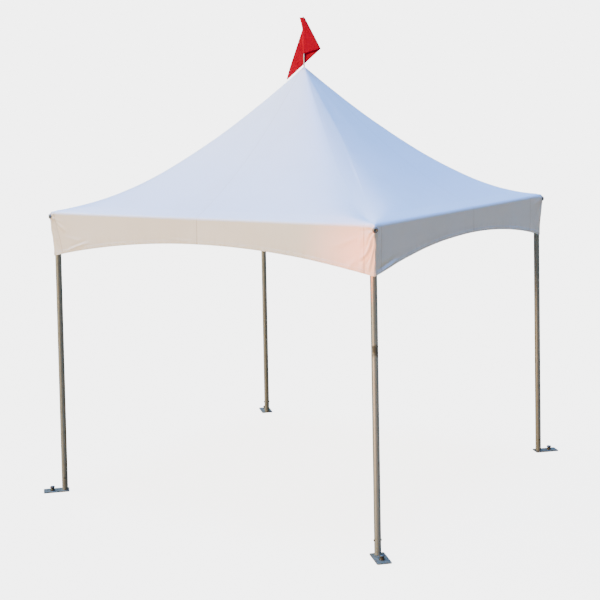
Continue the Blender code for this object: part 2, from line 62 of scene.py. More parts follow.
# Sizes shared with the frame.
HALF = 1.500
DIAGONAL = HALF * math.sqrt(2)
RAIL_HEIGHT = 2.361
FOOT_DIAGONAL = DIAGONAL + 0.040
LEG_LENGTH = math.hypot(RAIL_HEIGHT, 0.050)
LEG_LEAN = math.asin(0.050 / LEG_LENGTH)
TUBE_RADIUS = 0.0254
SPIGOT_RADIUS = 0.0220
EAVE_PITCH = math.radians(26.0)
MIDDLE_DEPTH = 0.184
CORNER_DEPTH = 0.341
BOLT_DROP = 0.016
CORNER_FLARE = 0.0130
ROD_RADIUS = 0.0055
PLATE_THICKNESS = 0.008
STAKE_OFFSET = 0.105
FOOT_BOLT_HEIGHT = 0.115
MAST_FOOT_HEIGHT = 2.190
CORNERS = {"front_right": 315.0, "back_right": 45.0, "back_left": 135.0, "front_left": 225.0}
SIDES = {"front": 0.0, "right": 90.0, "back": 180.0, "left": 270.0}


# ---------------------------------------------------------------- properties

class TentClothSettings(PropertyGroup):
    """Sizes of the cloth parts."""

    peak_height: FloatProperty(
        name="Peak height", description="Height of the canopy's opening round the flag rod",
        default=3.5382, unit="LENGTH")
    cloth: FloatProperty(
        name="Cloth", description="Thickness of the canopy's coated cloth", default=0.0014, unit="LENGTH")
    roll_radius: FloatProperty(
        name="Eave roll", description="Outer radius of the cloth where it bends over the eave rail",
        default=0.0271, unit="LENGTH")
    corner_radius: FloatProperty(
        name="Corner radius", description="Bend of the cloth round an upright corner", default=0.0120,
        unit="LENGTH")
    hem: FloatProperty(
        name="Hem", description="Width of the hem along the valance's free edge", default=0.027,
        unit="LENGTH")
    side_columns: IntProperty(
        name="Columns", description="Mesh columns along one side of the canopy", default=137, min=25)
    corner_columns: IntProperty(
        name="Corner columns", description="Mesh columns round one corner", default=9, min=5)
    roof_rows: IntProperty(
        name="Roof rows", description="Mesh rows from the peak to the eave", default=34, min=20)
    roll_rows: IntProperty(
        name="Roll rows", description="Mesh rows over the eave rail", default=6, min=4)
    valance_rows: IntProperty(
        name="Valance rows", description="Mesh rows from the eave to the hem", default=38, min=12)
    pennant_fly: FloatProperty(
        name="Pennant fly", description="Length of the pennant laid flat", default=0.530, unit="LENGTH")
    pennant_hoist: FloatProperty(
        name="Pennant hoist", description="Height of the pennant at the rod", default=0.300, unit="LENGTH")
    pennant_cloth: FloatProperty(
        name="Pennant cloth", description="Thickness of the pennant's cloth", default=0.0007, unit="LENGTH")


class TentFinishSettings(PropertyGroup):
    """Colours of the finishes."""

    vinyl: FloatVectorProperty(
        name="Vinyl", description="Canopy cloth", subtype="COLOR", default=(0.80, 0.80, 0.79), min=0, max=1)
    # Also the colour of the painted shade beside the seams and along the top of the hem.
    dust_and_shade: FloatVectorProperty(
        name="Dust", description="Dust and stains on the cloth", subtype="COLOR",
        default=(0.46, 0.43, 0.36), min=0, max=1)
    nylon: FloatVectorProperty(
        name="Nylon", description="Pennant cloth", subtype="COLOR", default=(0.44, 0.0008, 0.022), min=0, max=1)
    aluminium: FloatVectorProperty(
        name="Aluminium", description="Legs, rails and mast", subtype="COLOR",
        default=(0.235, 0.260, 0.245), min=0, max=1)
    casting: FloatVectorProperty(
        name="Casting", description="Cast corner fittings, mast foot and mast head", subtype="COLOR",
        default=(0.30, 0.30, 0.28), min=0, max=1)
    zinc: FloatVectorProperty(
        name="Zinc", description="Galvanised base plates", subtype="COLOR", default=(0.225, 0.240, 0.195),
        min=0, max=1)
    iron: FloatVectorProperty(
        name="Iron", description="Stakes and bolts", subtype="COLOR", default=(0.085, 0.095, 0.085), min=0, max=1)
    rust: FloatVectorProperty(
        name="Rust", description="Rust on iron and zinc", subtype="COLOR", default=(0.12, 0.060, 0.028),
        min=0, max=1)
    # Colour of the dark marks on the front right leg and of the dark specks on the corner rings.
    dark_marks: FloatVectorProperty(
        name="Grime", description="Black grime on the legs", subtype="COLOR", default=(0.035, 0.035, 0.022),
        min=0, max=1)


class TentStageSettings(PropertyGroup):
    """Studio and camera."""

    camera_place: FloatVectorProperty(
        name="Camera", description="Camera position", subtype="TRANSLATION", unit="LENGTH",
        default=(5.554, -8.690, 3.158))
    camera_yaw: FloatProperty(
        name="Yaw", description="Heading of the camera, clockwise from +Y", subtype="ANGLE",
        default=math.radians(-32.993))
    camera_pitch: FloatProperty(
        name="Pitch", description="Tilt of the camera above the horizon", subtype="ANGLE",
        default=math.radians(-8.944))
    camera_roll: FloatProperty(
        name="Roll", description="Roll of the camera", subtype="ANGLE", default=math.radians(-1.118))
    focal_pixels: FloatProperty(
        name="Focal length", description="Focal length in pixels of the 600 pixel frame", default=1196.1)
    key_strength: FloatProperty(name="Key", description="Low warm light from the front left", default=5.8)
    side_strength: FloatProperty(name="Side", description="High light from the left", default=4.6)
    top_strength: FloatProperty(name="Top", description="Cool light from above", default=10.5)
    corner_power: FloatProperty(
        name="Corner lamp", description="Power of the warm lamp on the front right corner", default=4500.0)
    leg_power: FloatProperty(
        name="Leg lamp", description="Power of the warm lamp along the front right leg", default=950.0)
    around_strength: FloatProperty(name="Around", description="Even light from all round", default=0.33)
    floor_colour: FloatVectorProperty(
        name="Floor", description="Colour of the floor, warm to even out the cool light from above",
        subtype="COLOR", default=(0.32, 0.214, 0.116), min=0, max=1)
    floor_glow: FloatProperty(
        name="Floor glow", description="Brightness added to the floor as the camera sees it", default=4.6)


# ---------------------------------------------------------------- shader building

class Value:
    """One socket of a material. Arithmetic on it adds Math nodes."""

    def __init__(self, finish, socket):
        self.finish = finish
        self.socket = socket

    def maths(self, operation, *terms):
        return self.finish.node("Math", {"operation": operation}, dict(enumerate(terms)))

    def __add__(self, other):
        return self.maths("ADD", self, other)

    def __radd__(self, other):
        return self.maths("ADD", other, self)

    def __sub__(self, other):
        return self.maths("SUBTRACT", self, other)

    def __rsub__(self, other):
        return self.maths("SUBTRACT", other, self)

    def __mul__(self, other):
        return self.maths("MULTIPLY", self, other)

    def __rmul__(self, other):
        return self.maths("MULTIPLY", other, self)

    def __truediv__(self, other):
        return self.maths("DIVIDE", self, other)

    def __pow__(self, other):
        return self.maths("POWER", self, other)

    def __lt__(self, other):
        return self.maths("LESS_THAN", self, other)

    def __gt__(self, other):
        return self.maths("GREATER_THAN", self, other)

    def __abs__(self):
        return self.maths("ABSOLUTE", self)

    def sine(self):
        return self.maths("SINE", self)

    def fraction(self):
        return self.maths("FRACT", self)

    def least(self, other):
        return self.maths("MINIMUM", self, other)

    def most(self, other):
        return self.maths("MAXIMUM", self, other)

    def rise(self, low, high):
        """0 below low, 1 above high, smooth between. With low over high it falls instead."""
        if low > high:
            return 1 - self.rise(high, low)
        return self.finish.node("MapRange", {"interpolation_type": "SMOOTHSTEP"},
                                {"Value": self, "From Min": low, "From Max": high})

    def line(self, half_width, soft):
        """1 within half_width of zero, fading over soft."""
        return abs(self).rise(half_width + soft, half_width)


class Finish:
    """A material that is being put together round one Principled shader."""

    def __init__(self, name):
        self.material = bpy.data.materials.new(name)
        self.material.use_nodes = True
        self.tree = self.material.node_tree
        self.shader = self.tree.nodes["Principled BSDF"]

    def node(self, kind, settings=None, inputs=None, output=0):
        """Add a node: its settings first, then the values or links of its sockets."""
        made = self.tree.nodes.new("ShaderNode" + kind)
        for name, value in (settings or {}).items():
            if name == "stops":
                self.set_stops(made.color_ramp, value)
            else:
                setattr(made, name, value)
        for name, value in (inputs or {}).items():
            self.feed(made.inputs[name], value)
        return Value(self, made.outputs[output])

    def feed(self, socket, value):
        """Link a value to a socket, or set the socket's constant."""
        if isinstance(value, Value):
            self.tree.links.new(value.socket, socket)
        elif socket.type == "RGBA" and len(value) == 3:
            socket.default_value = (*value, 1.0)
        else:
            socket.default_value = value

    def set_stops(self, ramp, stops):
        """Set a colour ramp's stops from (position, colour) pairs."""
        while len(ramp.elements) < len(stops):
            ramp.elements.new(0.5)
        for element, (position, colour) in zip(ramp.elements, stops):
            element.position = position
            element.color = (*colour, 1.0)

    def place(self):
        """Position on the object, which is also the position in the frame."""
        return self.node("TexCoord", output="Object")

    def axes(self, vector):
        """The three parts of a vector."""
        first = self.node("SeparateXYZ", inputs={0: vector})
        outputs = first.socket.node.outputs
        return [Value(self, outputs[index]) for index in range(3)]

    def vector(self, x, y, z):
        return self.node("CombineXYZ", inputs={0: x, 1: y, 2: z})

    def stretched(self, vector, scale):
        """A vector with each part multiplied."""
        return self.node("VectorMath", {"operation": "MULTIPLY"}, {0: vector, 1: scale})

    def distance(self, vector, point):
        return self.node("VectorMath", {"operation": "DISTANCE"}, {0: vector, 1: point}, output="Value")

    def noise(self, vector, scale, detail=3.0, roughness=0.5, distortion=0.0):
        return self.node("TexNoise", {"noise_dimensions": "3D"}, {
            "Vector": vector, "Scale": scale, "Detail": detail, "Roughness": roughness,
            "Distortion": distortion})

    def cells(self, vector, scale, feature="F1", output="Distance"):
        return self.node("TexVoronoi", {"feature": feature}, {"Vector": vector, "Scale": scale}, output)

    def attribute(self, name):
        """A number that the mesh carries at each point."""
        return self.node("Attribute", {"attribute_name": name}, output="Fac")

    def mix(self, share, first, second):
        """Colour that goes from first to second."""
        return self.node("Mix", {"data_type": "RGBA"}, {0: share, 6: first, 7: second}, 2)

    def tinted(self, colour, amount):
        """A colour multiplied by a grey number."""
        return self.node("VectorMath", {"operation": "SCALE"}, {0: colour, "Scale": amount})

    def bump(self, height, distance, strength=1.0, under=None):
        """Normal that follows a height map, whose unit is distance."""
        inputs = {"Height": height, "Distance": distance, "Strength": strength}
        if under is not None:
            inputs["Normal"] = under
        return self.node("Bump", None, inputs)

    def shade(self, **inputs):
        """Feed the Principled shader. Socket names are written with _ for each space."""
        for name, value in inputs.items():
            self.feed(self.shader.inputs[name.replace("_", " ")], value)
        return self.material


# ---------------------------------------------------------------- mesh building

def spin(degrees):
    """Rotation about the vertical through the middle of the tent."""
    return Matrix.Rotation(math.radians(degrees), 4, "Z")


def lift(height):
    return Matrix.Translation((0.0, 0.0, height))


def foot_frame(degrees):
    """Frame on the ground under a leg: X points diagonally outward."""
    return spin(degrees) @ Matrix.Translation((FOOT_DIAGONAL, 0.0, 0.0))


def leg_frame(degrees):
    """Frame at a leg's foot with Z along the leg."""
    return foot_frame(degrees) @ Matrix.Rotation(-LEG_LEAN, 4, "Y")


def corner_frame(degrees):
    """Frame at an eave corner, on the rails' axes: X points diagonally outward."""
    return spin(degrees) @ Matrix.Translation((DIAGONAL, 0.0, RAIL_HEIGHT))


LAY_X = Matrix.Rotation(math.pi / 2, 4, "Y")
LAY_Y = Matrix.Rotation(math.pi / 2, 4, "X")


def add_piece(name, mesh, material, nodes, smooth_angle=40.0):
    """Put a mesh into the scene as a piece that stands for CAD nodes."""
    mesh.materials.clear()
    mesh.materials.append(material)
    mesh.shade_smooth()
    mesh.set_sharp_from_angle(angle=math.radians(smooth_angle))
    piece = bpy.data.objects.new(name, mesh)
    bpy.context.scene.collection.objects.link(piece)
    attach(piece, "root")
    if nodes:
        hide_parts(*nodes)
    return piece


def mesh_of(work, name):
    """Turn a bmesh into a mesh."""
    bmesh.ops.recalc_face_normals(work, faces=work.faces)
    mesh = bpy.data.meshes.new(name)
    work.to_mesh(mesh)
    work.free()
    return mesh


def ring_faces(work, rings, cap_first=True, cap_last=True):
    """Join rings of points with quads. A ring of one point closes to a tip."""
    made = [[work.verts.new(point) for point in ring] for ring in rings]
    for first, second in zip(made, made[1:]):
        count = max(len(first), len(second))
        for index in range(count):
            after = (index + 1) % count
            corners = [first[index % len(first)], first[after % len(first)],
                       second[after % len(second)], second[index % len(second)]]
            face = list(dict.fromkeys(corners))
            if len(face) > 2:
                work.faces.new(face)
    if cap_first and len(made[0]) > 2:
        work.faces.new(made[0])
    if cap_last and len(made[-1]) > 2:
        work.faces.new(made[-1])
    return made


def turned(work, profile, place, steps=48, wobble=None):
    """Turn a profile of (radius, height) points about Z. A closed profile repeats its first point."""
    rings = []
    for radius, height in profile:
        if radius < 1e-6:
            rings.append([place @ Vector((0.0, 0.0, height))])
            continue
        ring = []
        for step in range(steps):
            angle = math.tau * step / steps
            point = Vector((radius * math.cos(angle), radius * math.sin(angle), height))
            if wobble:
                point = wobble(point, angle)
            ring.append(place @ point)
        rings.append(ring)
    ring_faces(work, rings, False, False)
    bmesh.ops.remove_doubles(work, verts=work.verts, dist=1e-6)


def rounded(profile, size, steps=3):
    """Round the inner points of a profile by a small radius."""
    points = [Vector(point) for point in profile]
    result = [tuple(points[0])]
    for before, point, after in zip(points, points[1:], points[2:]):
        back, ahead = before - point, after - point
        reach = min(size, back.length * 0.45, ahead.length * 0.45)
        start = point + back.normalized() * reach
        end = point + ahead.normalized() * reach
        for step in range(steps + 1):
            share = step / steps
            result.append(tuple(start * (1 - share) ** 2 + point * 2 * share * (1 - share) + end * share ** 2))
    result.append(tuple(points[-1]))
    return result


def block(work, low, high, place, bevel, segments=2):
    """Box with rounded edges."""
    low, high = Vector(low), Vector(high)
    size = high - low
    made = bmesh.ops.create_cube(
        work, size=1.0, matrix=Matrix.Translation((low + high) / 2) @ Matrix.Diagonal((*size, 1.0)))
    edges = {edge for vert in made["verts"] for edge in vert.link_edges}
    shaped = bmesh.ops.bevel(work, geom=list(edges), offset=bevel, segments=segments, profile=0.5,
                             affect="EDGES")
    verts = {vert for face in shaped["faces"] for vert in face.verts}
    verts |= {vert for vert in made["verts"] if vert.is_valid}
    bmesh.ops.transform(work, matrix=place, verts=list(verts))


# ---------------------------------------------------------------- canopy

class CanopyShape:
    """The canopy as a grid of points: rows run from the peak to the hem, columns round the tent."""

    def __init__(self, cloth):
        self.cloth = cloth
        self.eave_half = HALF + cloth.roll_radius * math.sin(EAVE_PITCH)
        eave_height = RAIL_HEIGHT + cloth.roll_radius * math.cos(EAVE_PITCH)
        rise = cloth.peak_height - eave_height
        self.bend = rise - math.tan(EAVE_PITCH) * self.eave_half
        self.fall = rise + self.bend
        self.lay_columns()
        self.lay_rows()
        self.measure()

    def lay_columns(self):
        """Side, station and corner share of each column. Columns crowd towards the corners."""
        even = np.linspace(-1.0, 1.0, self.cloth.side_columns)
        stations = 0.16 * even + 0.84 * np.sin(np.pi * even / 2)
        turns = np.arange(1, self.cloth.corner_columns + 1)
        per_side = len(stations) + len(turns)
        self.side = np.repeat(np.arange(4), per_side)
        self.station = np.tile(np.concatenate([stations, np.ones(len(turns))]), 4)
        self.turn = np.tile(np.concatenate([np.zeros(len(stations)), turns]), 4).astype(int)
        angle = self.side * np.pi / 2
        self.ahead = np.stack([np.cos(angle), np.sin(angle)], 1)
        self.out = np.stack([np.sin(angle), -np.cos(angle)], 1)

    def turn_angle(self, edges):
        """Angle round the corner of each column, with a narrow step at the flap's free edge."""
        count = self.cloth.corner_columns
        step = (count + 1) // 2
        angle = np.zeros(len(self.turn))
        for side in range(4):
            mine = (self.side == side) & (self.turn > 0)
            index = self.turn[mine]
            edge = edges[side]
            slit = math.radians(1.3)
            before = edge * index / step
            after = edge + slit + (np.pi / 2 - edge - slit) * (index - step - 1) / (count - step)
            angle[mine] = np.where(index <= step, before, after)
        return angle

    def ring(self, half, corner, edges):
        """Plan points of one row."""
        angle = self.turn_angle(edges)
        straight = half - corner
        along = straight * self.station + corner * np.sin(angle)
        out = straight + corner * np.cos(angle)
        return self.ahead * along[:, None] + self.out * out[:, None], angle

    def roof_height(self, plan):
        """Height of the skin: a parabola up the middle of a side, rounded over the hips."""
        size = np.abs(plan)
        far, near = size.max(1), size.min(1)
        reach = far / self.eave_half
        rounding = np.maximum(0.2265 * (1.0 - np.minimum(reach, 1.0) ** 6), 0.01)
        ratio = near / np.maximum(far, 1e-9)
        distance = reach * (1.0 + ratio ** (1.0 / rounding)) ** rounding
        return self.cloth.peak_height - self.fall * distance + self.bend * distance ** 2

    def flap_edge(self, side, drop):
        """Angle round a corner at which the outer flap ends, at a depth under the rail."""
        depths = (-0.02, 0.03, 0.08, 0.13, 0.174, 0.24, 0.30, 0.36)
        turns = (
            (66, 58, 80, 63, 48, 55, 72, 80),
            (60, 52, 66, 72, 60, 52, 60, 70),
            (58, 64, 52, 60, 72, 66, 58, 64),
            (62, 56, 62, 50, 56, 68, 60, 52),
        )[side]
        return math.radians(float(np.interp(drop, depths, turns)))

    def lay_rows(self):
        """Base points of all rows, before wrinkles."""
        cloth = self.cloth
        rows, drops, angles, kinds = [], [], [], []
        regular = [math.radians(66)] * 4
        even = np.linspace(0.0, 1.0, cloth.roof_rows)
        shares = even - 0.55 * np.sin(2 * np.pi * even) / (2 * np.pi)
        for share in shares:
            half = 0.0095 + (self.eave_half - 0.0095) * share
            reach = half / self.eave_half
            corner = cloth.corner_radius * reach + half * 0.5 * (1.0 - reach)
            edges = [regular[side] for side in range(4)]
            plan, angle = self.ring(half, corner, edges)
            rows.append(np.column_stack([plan, self.roof_height(plan)]))
            drops.append(np.full(len(plan), -9.0))
            angles.append(angle)
            kinds.append(0)
        for share in np.linspace(0.0, 1.0, cloth.roll_rows + 1)[1:]:
            bend = EAVE_PITCH + (math.pi / 2 - EAVE_PITCH) * share
            offset = cloth.roll_radius * math.sin(bend)
            height = cloth.roll_radius * math.cos(bend)
            edges = [regular[side] * (1 - share) + self.flap_edge(side, -height) * share for side in range(4)]
            plan, angle = self.ring(HALF + offset, cloth.corner_radius, edges)
            rows.append(np.column_stack([plan, np.full(len(plan), RAIL_HEIGHT + height)]))
            drops.append(np.full(len(plan), -height))
            angles.append(angle)
            kinds.append(1)
        depth_at = MIDDLE_DEPTH + (CORNER_DEPTH - MIDDLE_DEPTH) * np.abs(self.station) ** 2
        body = [(depth_at - cloth.hem) * share for share in np.linspace(0.0, 1.0, cloth.valance_rows)[1:-1]]
        hem = [depth_at - cloth.hem * left for left in (1.045, 1.0, 0.70, 0.38, 0.07, 0.0)]
        for drop in body + hem:
            edges = [self.flap_edge(side, CORNER_DEPTH / depth_at[0] * float(drop[0])) for side in range(4)]
            plan, angle = self.ring(HALF + cloth.roll_radius, cloth.corner_radius, edges)
            rows.append(np.column_stack([plan, RAIL_HEIGHT - drop]))
            drops.append(drop)
            angles.append(angle)
            kinds.append(2)
        self.points = np.array(rows)
        self.drop = np.array(drops)
        self.angle = np.array(angles)
        self.kind = np.array(kinds)
        self.depth_at = depth_at

    def measure(self):
        """Normals, and where each point lies on the cloth."""
        points = self.points
        across = np.roll(points, -1, 1) - np.roll(points, 1, 1)
        down = np.gradient(points, axis=0)
        normal = np.cross(down, across)
        self.normal = normal / np.linalg.norm(normal, axis=2, keepdims=True)
        plan = points[:, :, :2]
        self.along = (plan * self.ahead).sum(2)
        self.reach = (plan * self.out).sum(2)
        middle = self.cloth.side_columns // 2
        steps = np.linalg.norm(np.diff(points[:, middle], axis=0), axis=1)
        eave = int(np.argmax(self.kind > 0)) - 1
        length = np.concatenate([[0.0], np.cumsum(steps)])
        self.length = (length - length[eave])[:, None] + np.zeros_like(self.along)
        for row in np.nonzero(self.kind == 2)[0]:
            self.length[row] = length[eave + self.cloth.roll_rows] - length[eave] + self.drop[row]
        quarter = self.cloth.corner_radius * math.pi / 4
        straight = HALF + self.cloth.roll_radius - self.cloth.corner_radius
        after = -(straight - self.along) - quarter
        before = (straight + self.along) + quarter
        on_turn = self.turn > 0
        self.away = np.where(self.station > 0, after, before)
        self.away[:, on_turn] = (self.angle * self.cloth.corner_radius - quarter)[:, on_turn]
        up_the_hip = np.abs(plan).max(2) - straight - quarter
        on_hip = on_turn & (self.kind[:, None] == 0)
        self.away[on_hip] = np.minimum(up_the_hip, 0.0)[on_hip]
        self.corner = np.where(self.station > 0, self.side, (self.side - 1) % 4)
        self.hem_left = np.where(self.kind[:, None] == 2, self.depth_at - self.drop, 1.0)

    def push(self, amount):
        """Move the points outward along the base normals."""
        self.points = self.points + self.normal * np.asarray(amount)[..., None]


def fade(value, low, high):
    """Smooth step from 0 at low to 1 at high."""
    share = np.clip((value - low) / (high - low), 0.0, 1.0)
    return share * share * (3.0 - 2.0 * share)


def crease(across, down, path, height, width):
    """Ridge on the cloth along a path of points, which widens from its start and fades at both ends."""
    path = np.array(path)
    steps = np.diff(path, axis=0)
    lengths = np.linalg.norm(steps, axis=1)
    gone = np.concatenate([[0.0], np.cumsum(lengths)]) / lengths.sum()
    nearest = np.full(across.shape, 9.0)
    share = np.zeros(across.shape)
    for start, step, length, before, after in zip(path, steps, lengths, gone, gone[1:]):
        part = ((across - start[0]) * step[0] + (down - start[1]) * step[1]) / length ** 2
        part = np.clip(part, 0.0, 1.0)
        distance = np.hypot(across - start[0] - part * step[0], down - start[1] - part * step[1])
        share = np.where(distance < nearest, before + (after - before) * part, share)
        nearest = np.minimum(distance, nearest)
    ends = np.sqrt(np.sin(np.pi * np.clip(0.06 + 0.90 * share, 0.0, 1.0)))
    return height * np.exp(-(nearest / (width * (0.75 + 0.6 * share))) ** 2) * ends


def waves(values, parts):
    """Sum of sine waves given as (length, height, phase)."""
    return sum(height * np.sin(2 * np.pi * values / length + phase) for length, height, phase in parts)


def corner_creases(shape):
    """Folds that fan out from the four corner bolts."""
    cloth = shape.kind[:, None] == 2
    result = np.zeros_like(shape.along)
    front = [
        (((-0.013, 0.032), (-0.036, 0.064), (-0.049, 0.095), (-0.060, 0.132)), -0.0065, 0.0060),
        (((-0.024, 0.030), (-0.050, 0.062), (-0.064, 0.098), (-0.074, 0.140)), 0.0032, 0.0075),
        (((-0.022, 0.050), (-0.036, 0.095), (-0.044, 0.144), (-0.064, 0.182), (-0.104, 0.224)), 0.0080, 0.0065),
        (((-0.009, 0.070), (-0.019, 0.123), (-0.033, 0.160), (-0.054, 0.196), (-0.106, 0.243)), -0.0078, 0.0062),
        (((-0.006, 0.040), (-0.013, 0.090)), 0.0040, 0.0050),
        (((-0.012, 0.150), (-0.022, 0.200), (-0.036, 0.252), (-0.050, 0.305)), 0.0068, 0.0065),
        (((-0.026, 0.185), (-0.046, 0.225), (-0.072, 0.268)), -0.0045, 0.0080),
        (((-0.004, 0.160), (-0.010, 0.230), (-0.022, 0.300)), -0.0040, 0.0060),
        (((-0.030, 0.016), (-0.110, 0.030)), -0.0024, 0.0075), (((-0.085, 0.055), (-0.112, 0.105)), 0.0024, 0.0070),
        (((-0.080, 0.120), (-0.112, 0.165)), -0.0028, 0.0070), (((-0.095, 0.250), (-0.118, 0.320)), 0.0034, 0.0080),
        (((-0.060, 0.290), (-0.090, 0.335)), -0.0032, 0.0070), (((-0.150, 0.230), (-0.225, 0.300)), 0.0034, 0.0120),
        (((-0.135, 0.075), (-0.330, 0.150)), 0.0016, 0.0140), (((0.030, 0.040), (0.070, 0.240)), 0.0024, 0.0090),
        (((0.060, 0.325), (0.150, 0.300), (0.300, 0.262)), 0.0060, 0.0105),
        (((0.050, 0.295), (0.160, 0.268), (0.290, 0.240)), -0.0045, 0.0110),
    ]
    left = [
        (((0.020, 0.030), (0.110, 0.060)), 0.0026, 0.0085), (((0.014, 0.040), (0.050, 0.240)), 0.0036, 0.0085),
        (((0.066, 0.066), (0.100, 0.094), (0.137, 0.134)), 0.0075, 0.0080),
        (((0.062, 0.086), (0.090, 0.112), (0.125, 0.148)), -0.0040, 0.0075),
        (((0.020, 0.100), (0.042, 0.150)), -0.0030, 0.0080), (((0.030, 0.170), (0.060, 0.215)), 0.0034, 0.0080),
        (((0.180, 0.282), (0.270, 0.252), (0.380, 0.218)), 0.0065, 0.0105),
        (((0.190, 0.262), (0.280, 0.232), (0.370, 0.205)), -0.0042, 0.0100),
        (((0.160, 0.180), (0.330, 0.215)), 0.0024, 0.0130), (((0.044, 0.240), (0.074, 0.310)), -0.0030, 0.0085),
        (((-0.020, 0.040), (-0.090, 0.240)), 0.0044, 0.0080), (((-0.036, 0.028), (-0.150, 0.130)), -0.0034, 0.0090),
    ]
    plain = [
        (((0.014, 0.040), (0.036, 0.110), (0.074, 0.230)), 0.0058, 0.0070),
        (((0.006, 0.060), (0.018, 0.140), (0.050, 0.240)), -0.0050, 0.0065),
        (((0.030, 0.030), (0.130, 0.150)), -0.0034, 0.0090), (((-0.034, 0.020), (-0.180, 0.060)), 0.0026, 0.0100),
        (((-0.014, 0.040), (-0.030, 0.130), (-0.066, 0.260)), 0.0056, 0.0070),
        (((-0.024, 0.036), (-0.060, 0.110), (-0.120, 0.170)), -0.0044, 0.0080),
        (((0.034, 0.020), (0.200, 0.075)), 0.0024, 0.0110), (((0.100, 0.290), (0.300, 0.240)), 0.0044, 0.0110),
    ]
    mirrored = [([(-away, drop) for away, drop in path], height, width) for path, height, width in plain]
    for corner, folds in enumerate((front, plain, mirrored, left)):
        near = cloth & (shape.corner == corner)
        for path, height, width in folds:
            result += np.where(near, crease(shape.away, shape.drop, path, height, width), 0.0)
    distance = np.hypot(shape.away, shape.drop - BOLT_DROP)
    around = np.arctan2(shape.drop - BOLT_DROP, shape.away)
    pucker = 0.0034 * np.cos(7 * around + shape.corner * 1.3) * np.exp(-((distance - 0.036) / 0.014) ** 2)
    pulled = 0.0022 * np.exp(-(distance / 0.024) ** 2)
    below = fade(np.where(shape.kind[:, None] >= 1, shape.drop, -1.0), -0.0235, 0.0)
    return result + (pucker + pulled) * below


def valance_waves(shape):
    """Slack of the valance, which grows towards its free edge."""
    loose = np.where(shape.kind[:, None] == 2, np.clip(shape.drop / 0.30, 0.0, 1.2), 0.0)
    near_corner = fade(np.abs(shape.away), 0.05, 0.30)
    result = np.zeros_like(shape.along)
    for side, phase in enumerate((0.4, 2.1, 3.9, 5.2)):
        mine = shape.side == side
        lean = shape.along + 0.25 * shape.drop
        slow = waves(lean, [(1.15, 0.0030, phase), (0.61, 0.0018, phase * 1.7), (0.37, 0.0010, phase * 2.3)])
        quick = waves(lean, [(0.153, 0.0004, phase), (0.097, 0.0003, phase * 3.1)])
        result += np.where(mine, slow * loose ** 1.3 + quick * loose ** 3, 0.0)
    front = (shape.side == 0) & (shape.kind[:, None] == 2)
    result += np.where(front, crease(shape.along, shape.drop, ((-0.26, 0.150), (-0.08, 0.163)), 0.0018, 0.010), 0)
    return result * near_corner


def roof_ripples(shape):
    """Very shallow ripples of the stretched roof, and the short wrinkles by the front hip."""
    roof = shape.kind[:, None] == 0
    share = np.clip(-shape.length / 1.9, 0.0, 1.0)
    middle = np.sin(np.pi * np.clip(share, 0.0, 1.0)) ** 0.7
    result = np.zeros_like(shape.along)
    for side, phase in enumerate((0.9, 2.6, 4.4, 5.9)):
        fan = shape.along / np.maximum(shape.reach, 0.05)
        slow = waves(fan, [(0.83, 0.0016, phase), (0.47, 0.0009, phase * 1.9)])
        level = waves(shape.length, [(0.52, 0.0008, phase), (0.21, 0.00035, phase * 2.3)])
        result += np.where(shape.side == side, (slow + level) * middle, 0.0)
    x, y = shape.points[:, :, 0], shape.points[:, :, 1]
    for start, end, height, width in (
            ((0.345, -0.180), (0.490, -0.360), 0.0030, 0.010), ((0.405, -0.360), (0.540, -0.515), 0.0030, 0.010),
            ((-1.14, -1.470), (-0.91, -1.474), 0.0010, 0.009), ((-1.30, -1.440), (-1.02, -1.446), 0.0008, 0.010),
            ((0.62, -0.60), (0.86, -0.87), 0.0012, 0.016), ((-0.42, -0.30), (-0.60, -0.47), 0.0014, 0.012)):
        result += crease(x, y, (start, end), height, width)
    return np.where(roof, result, 0.0)


def flap_step(shape):
    """The outer flap at each corner stands a cloth's thickness proud, and its edge lifts a little."""
    below = fade(np.where(shape.kind[:, None] >= 1, shape.drop, -1.0), -0.020, 0.020)
    edge = (shape.cloth.corner_columns + 1) // 2
    outer = ((shape.turn > 0) & (shape.turn <= edge)) | ((shape.turn == 0) & (shape.station > 0))
    strip = np.exp(-np.maximum(np.abs(shape.away) - 0.115, 0.0) / 0.004)
    lifted = np.where(shape.turn == edge, 0.0012 + 0.0010 * np.sin(shape.drop * 61.0 + shape.corner * 2.0), 0.0)
    return np.where(outer, 0.0015 * strip + lifted, 0.0) * below


def shape_canopy(cloth):
    """All of the canopy's points with their wrinkles."""
    shape = CanopyShape(cloth)
    hem = np.where(shape.hem_left < cloth.hem + 0.0004, 0.0006, 0.0)
    shape.push(corner_creases(shape) + valance_waves(shape) + roof_ripples(shape) + flap_step(shape) + hem)
    # At the corners the bolt holds the top of the valance out, and the foot of it leans in to the leg.
    # On the roof the pull follows the slope of the hip, so it leaves no bump.
    level = shape.length
    flare = CORNER_FLARE * fade(level, -0.45, 0.030) * (1.0 - fade(level, 0.050, 0.300))
    lean = -0.0060 * fade(level, 0.12, 0.34)
    spread = 0.075 + 0.22 * (1.0 - fade(level, -0.40, 0.020))
    reach = np.exp(-(np.abs(shape.away) / spread) ** 2)
    heading = shape.points[:, :, :2] / np.linalg.norm(shape.points[:, :, :2], axis=2, keepdims=True)
    shape.points[:, :, :2] += heading * ((flare + lean) * reach)[..., None]
    shape.points[:, :, 2] -= 0.08 * flare * reach * (1.0 - fade(level, 0.0, 0.10))
    # The cloth rises a little where it lies on the corner fitting's ball.
    from_ball = np.hypot(np.abs(shape.points[:, :, 0]) - HALF, np.abs(shape.points[:, :, 1]) - HALF)
    shape.points[:, :, 2] += 0.0034 * np.exp(-(from_ball / 0.048) ** 2) * (1.0 - fade(level, 0.01, 0.05))
    return shape


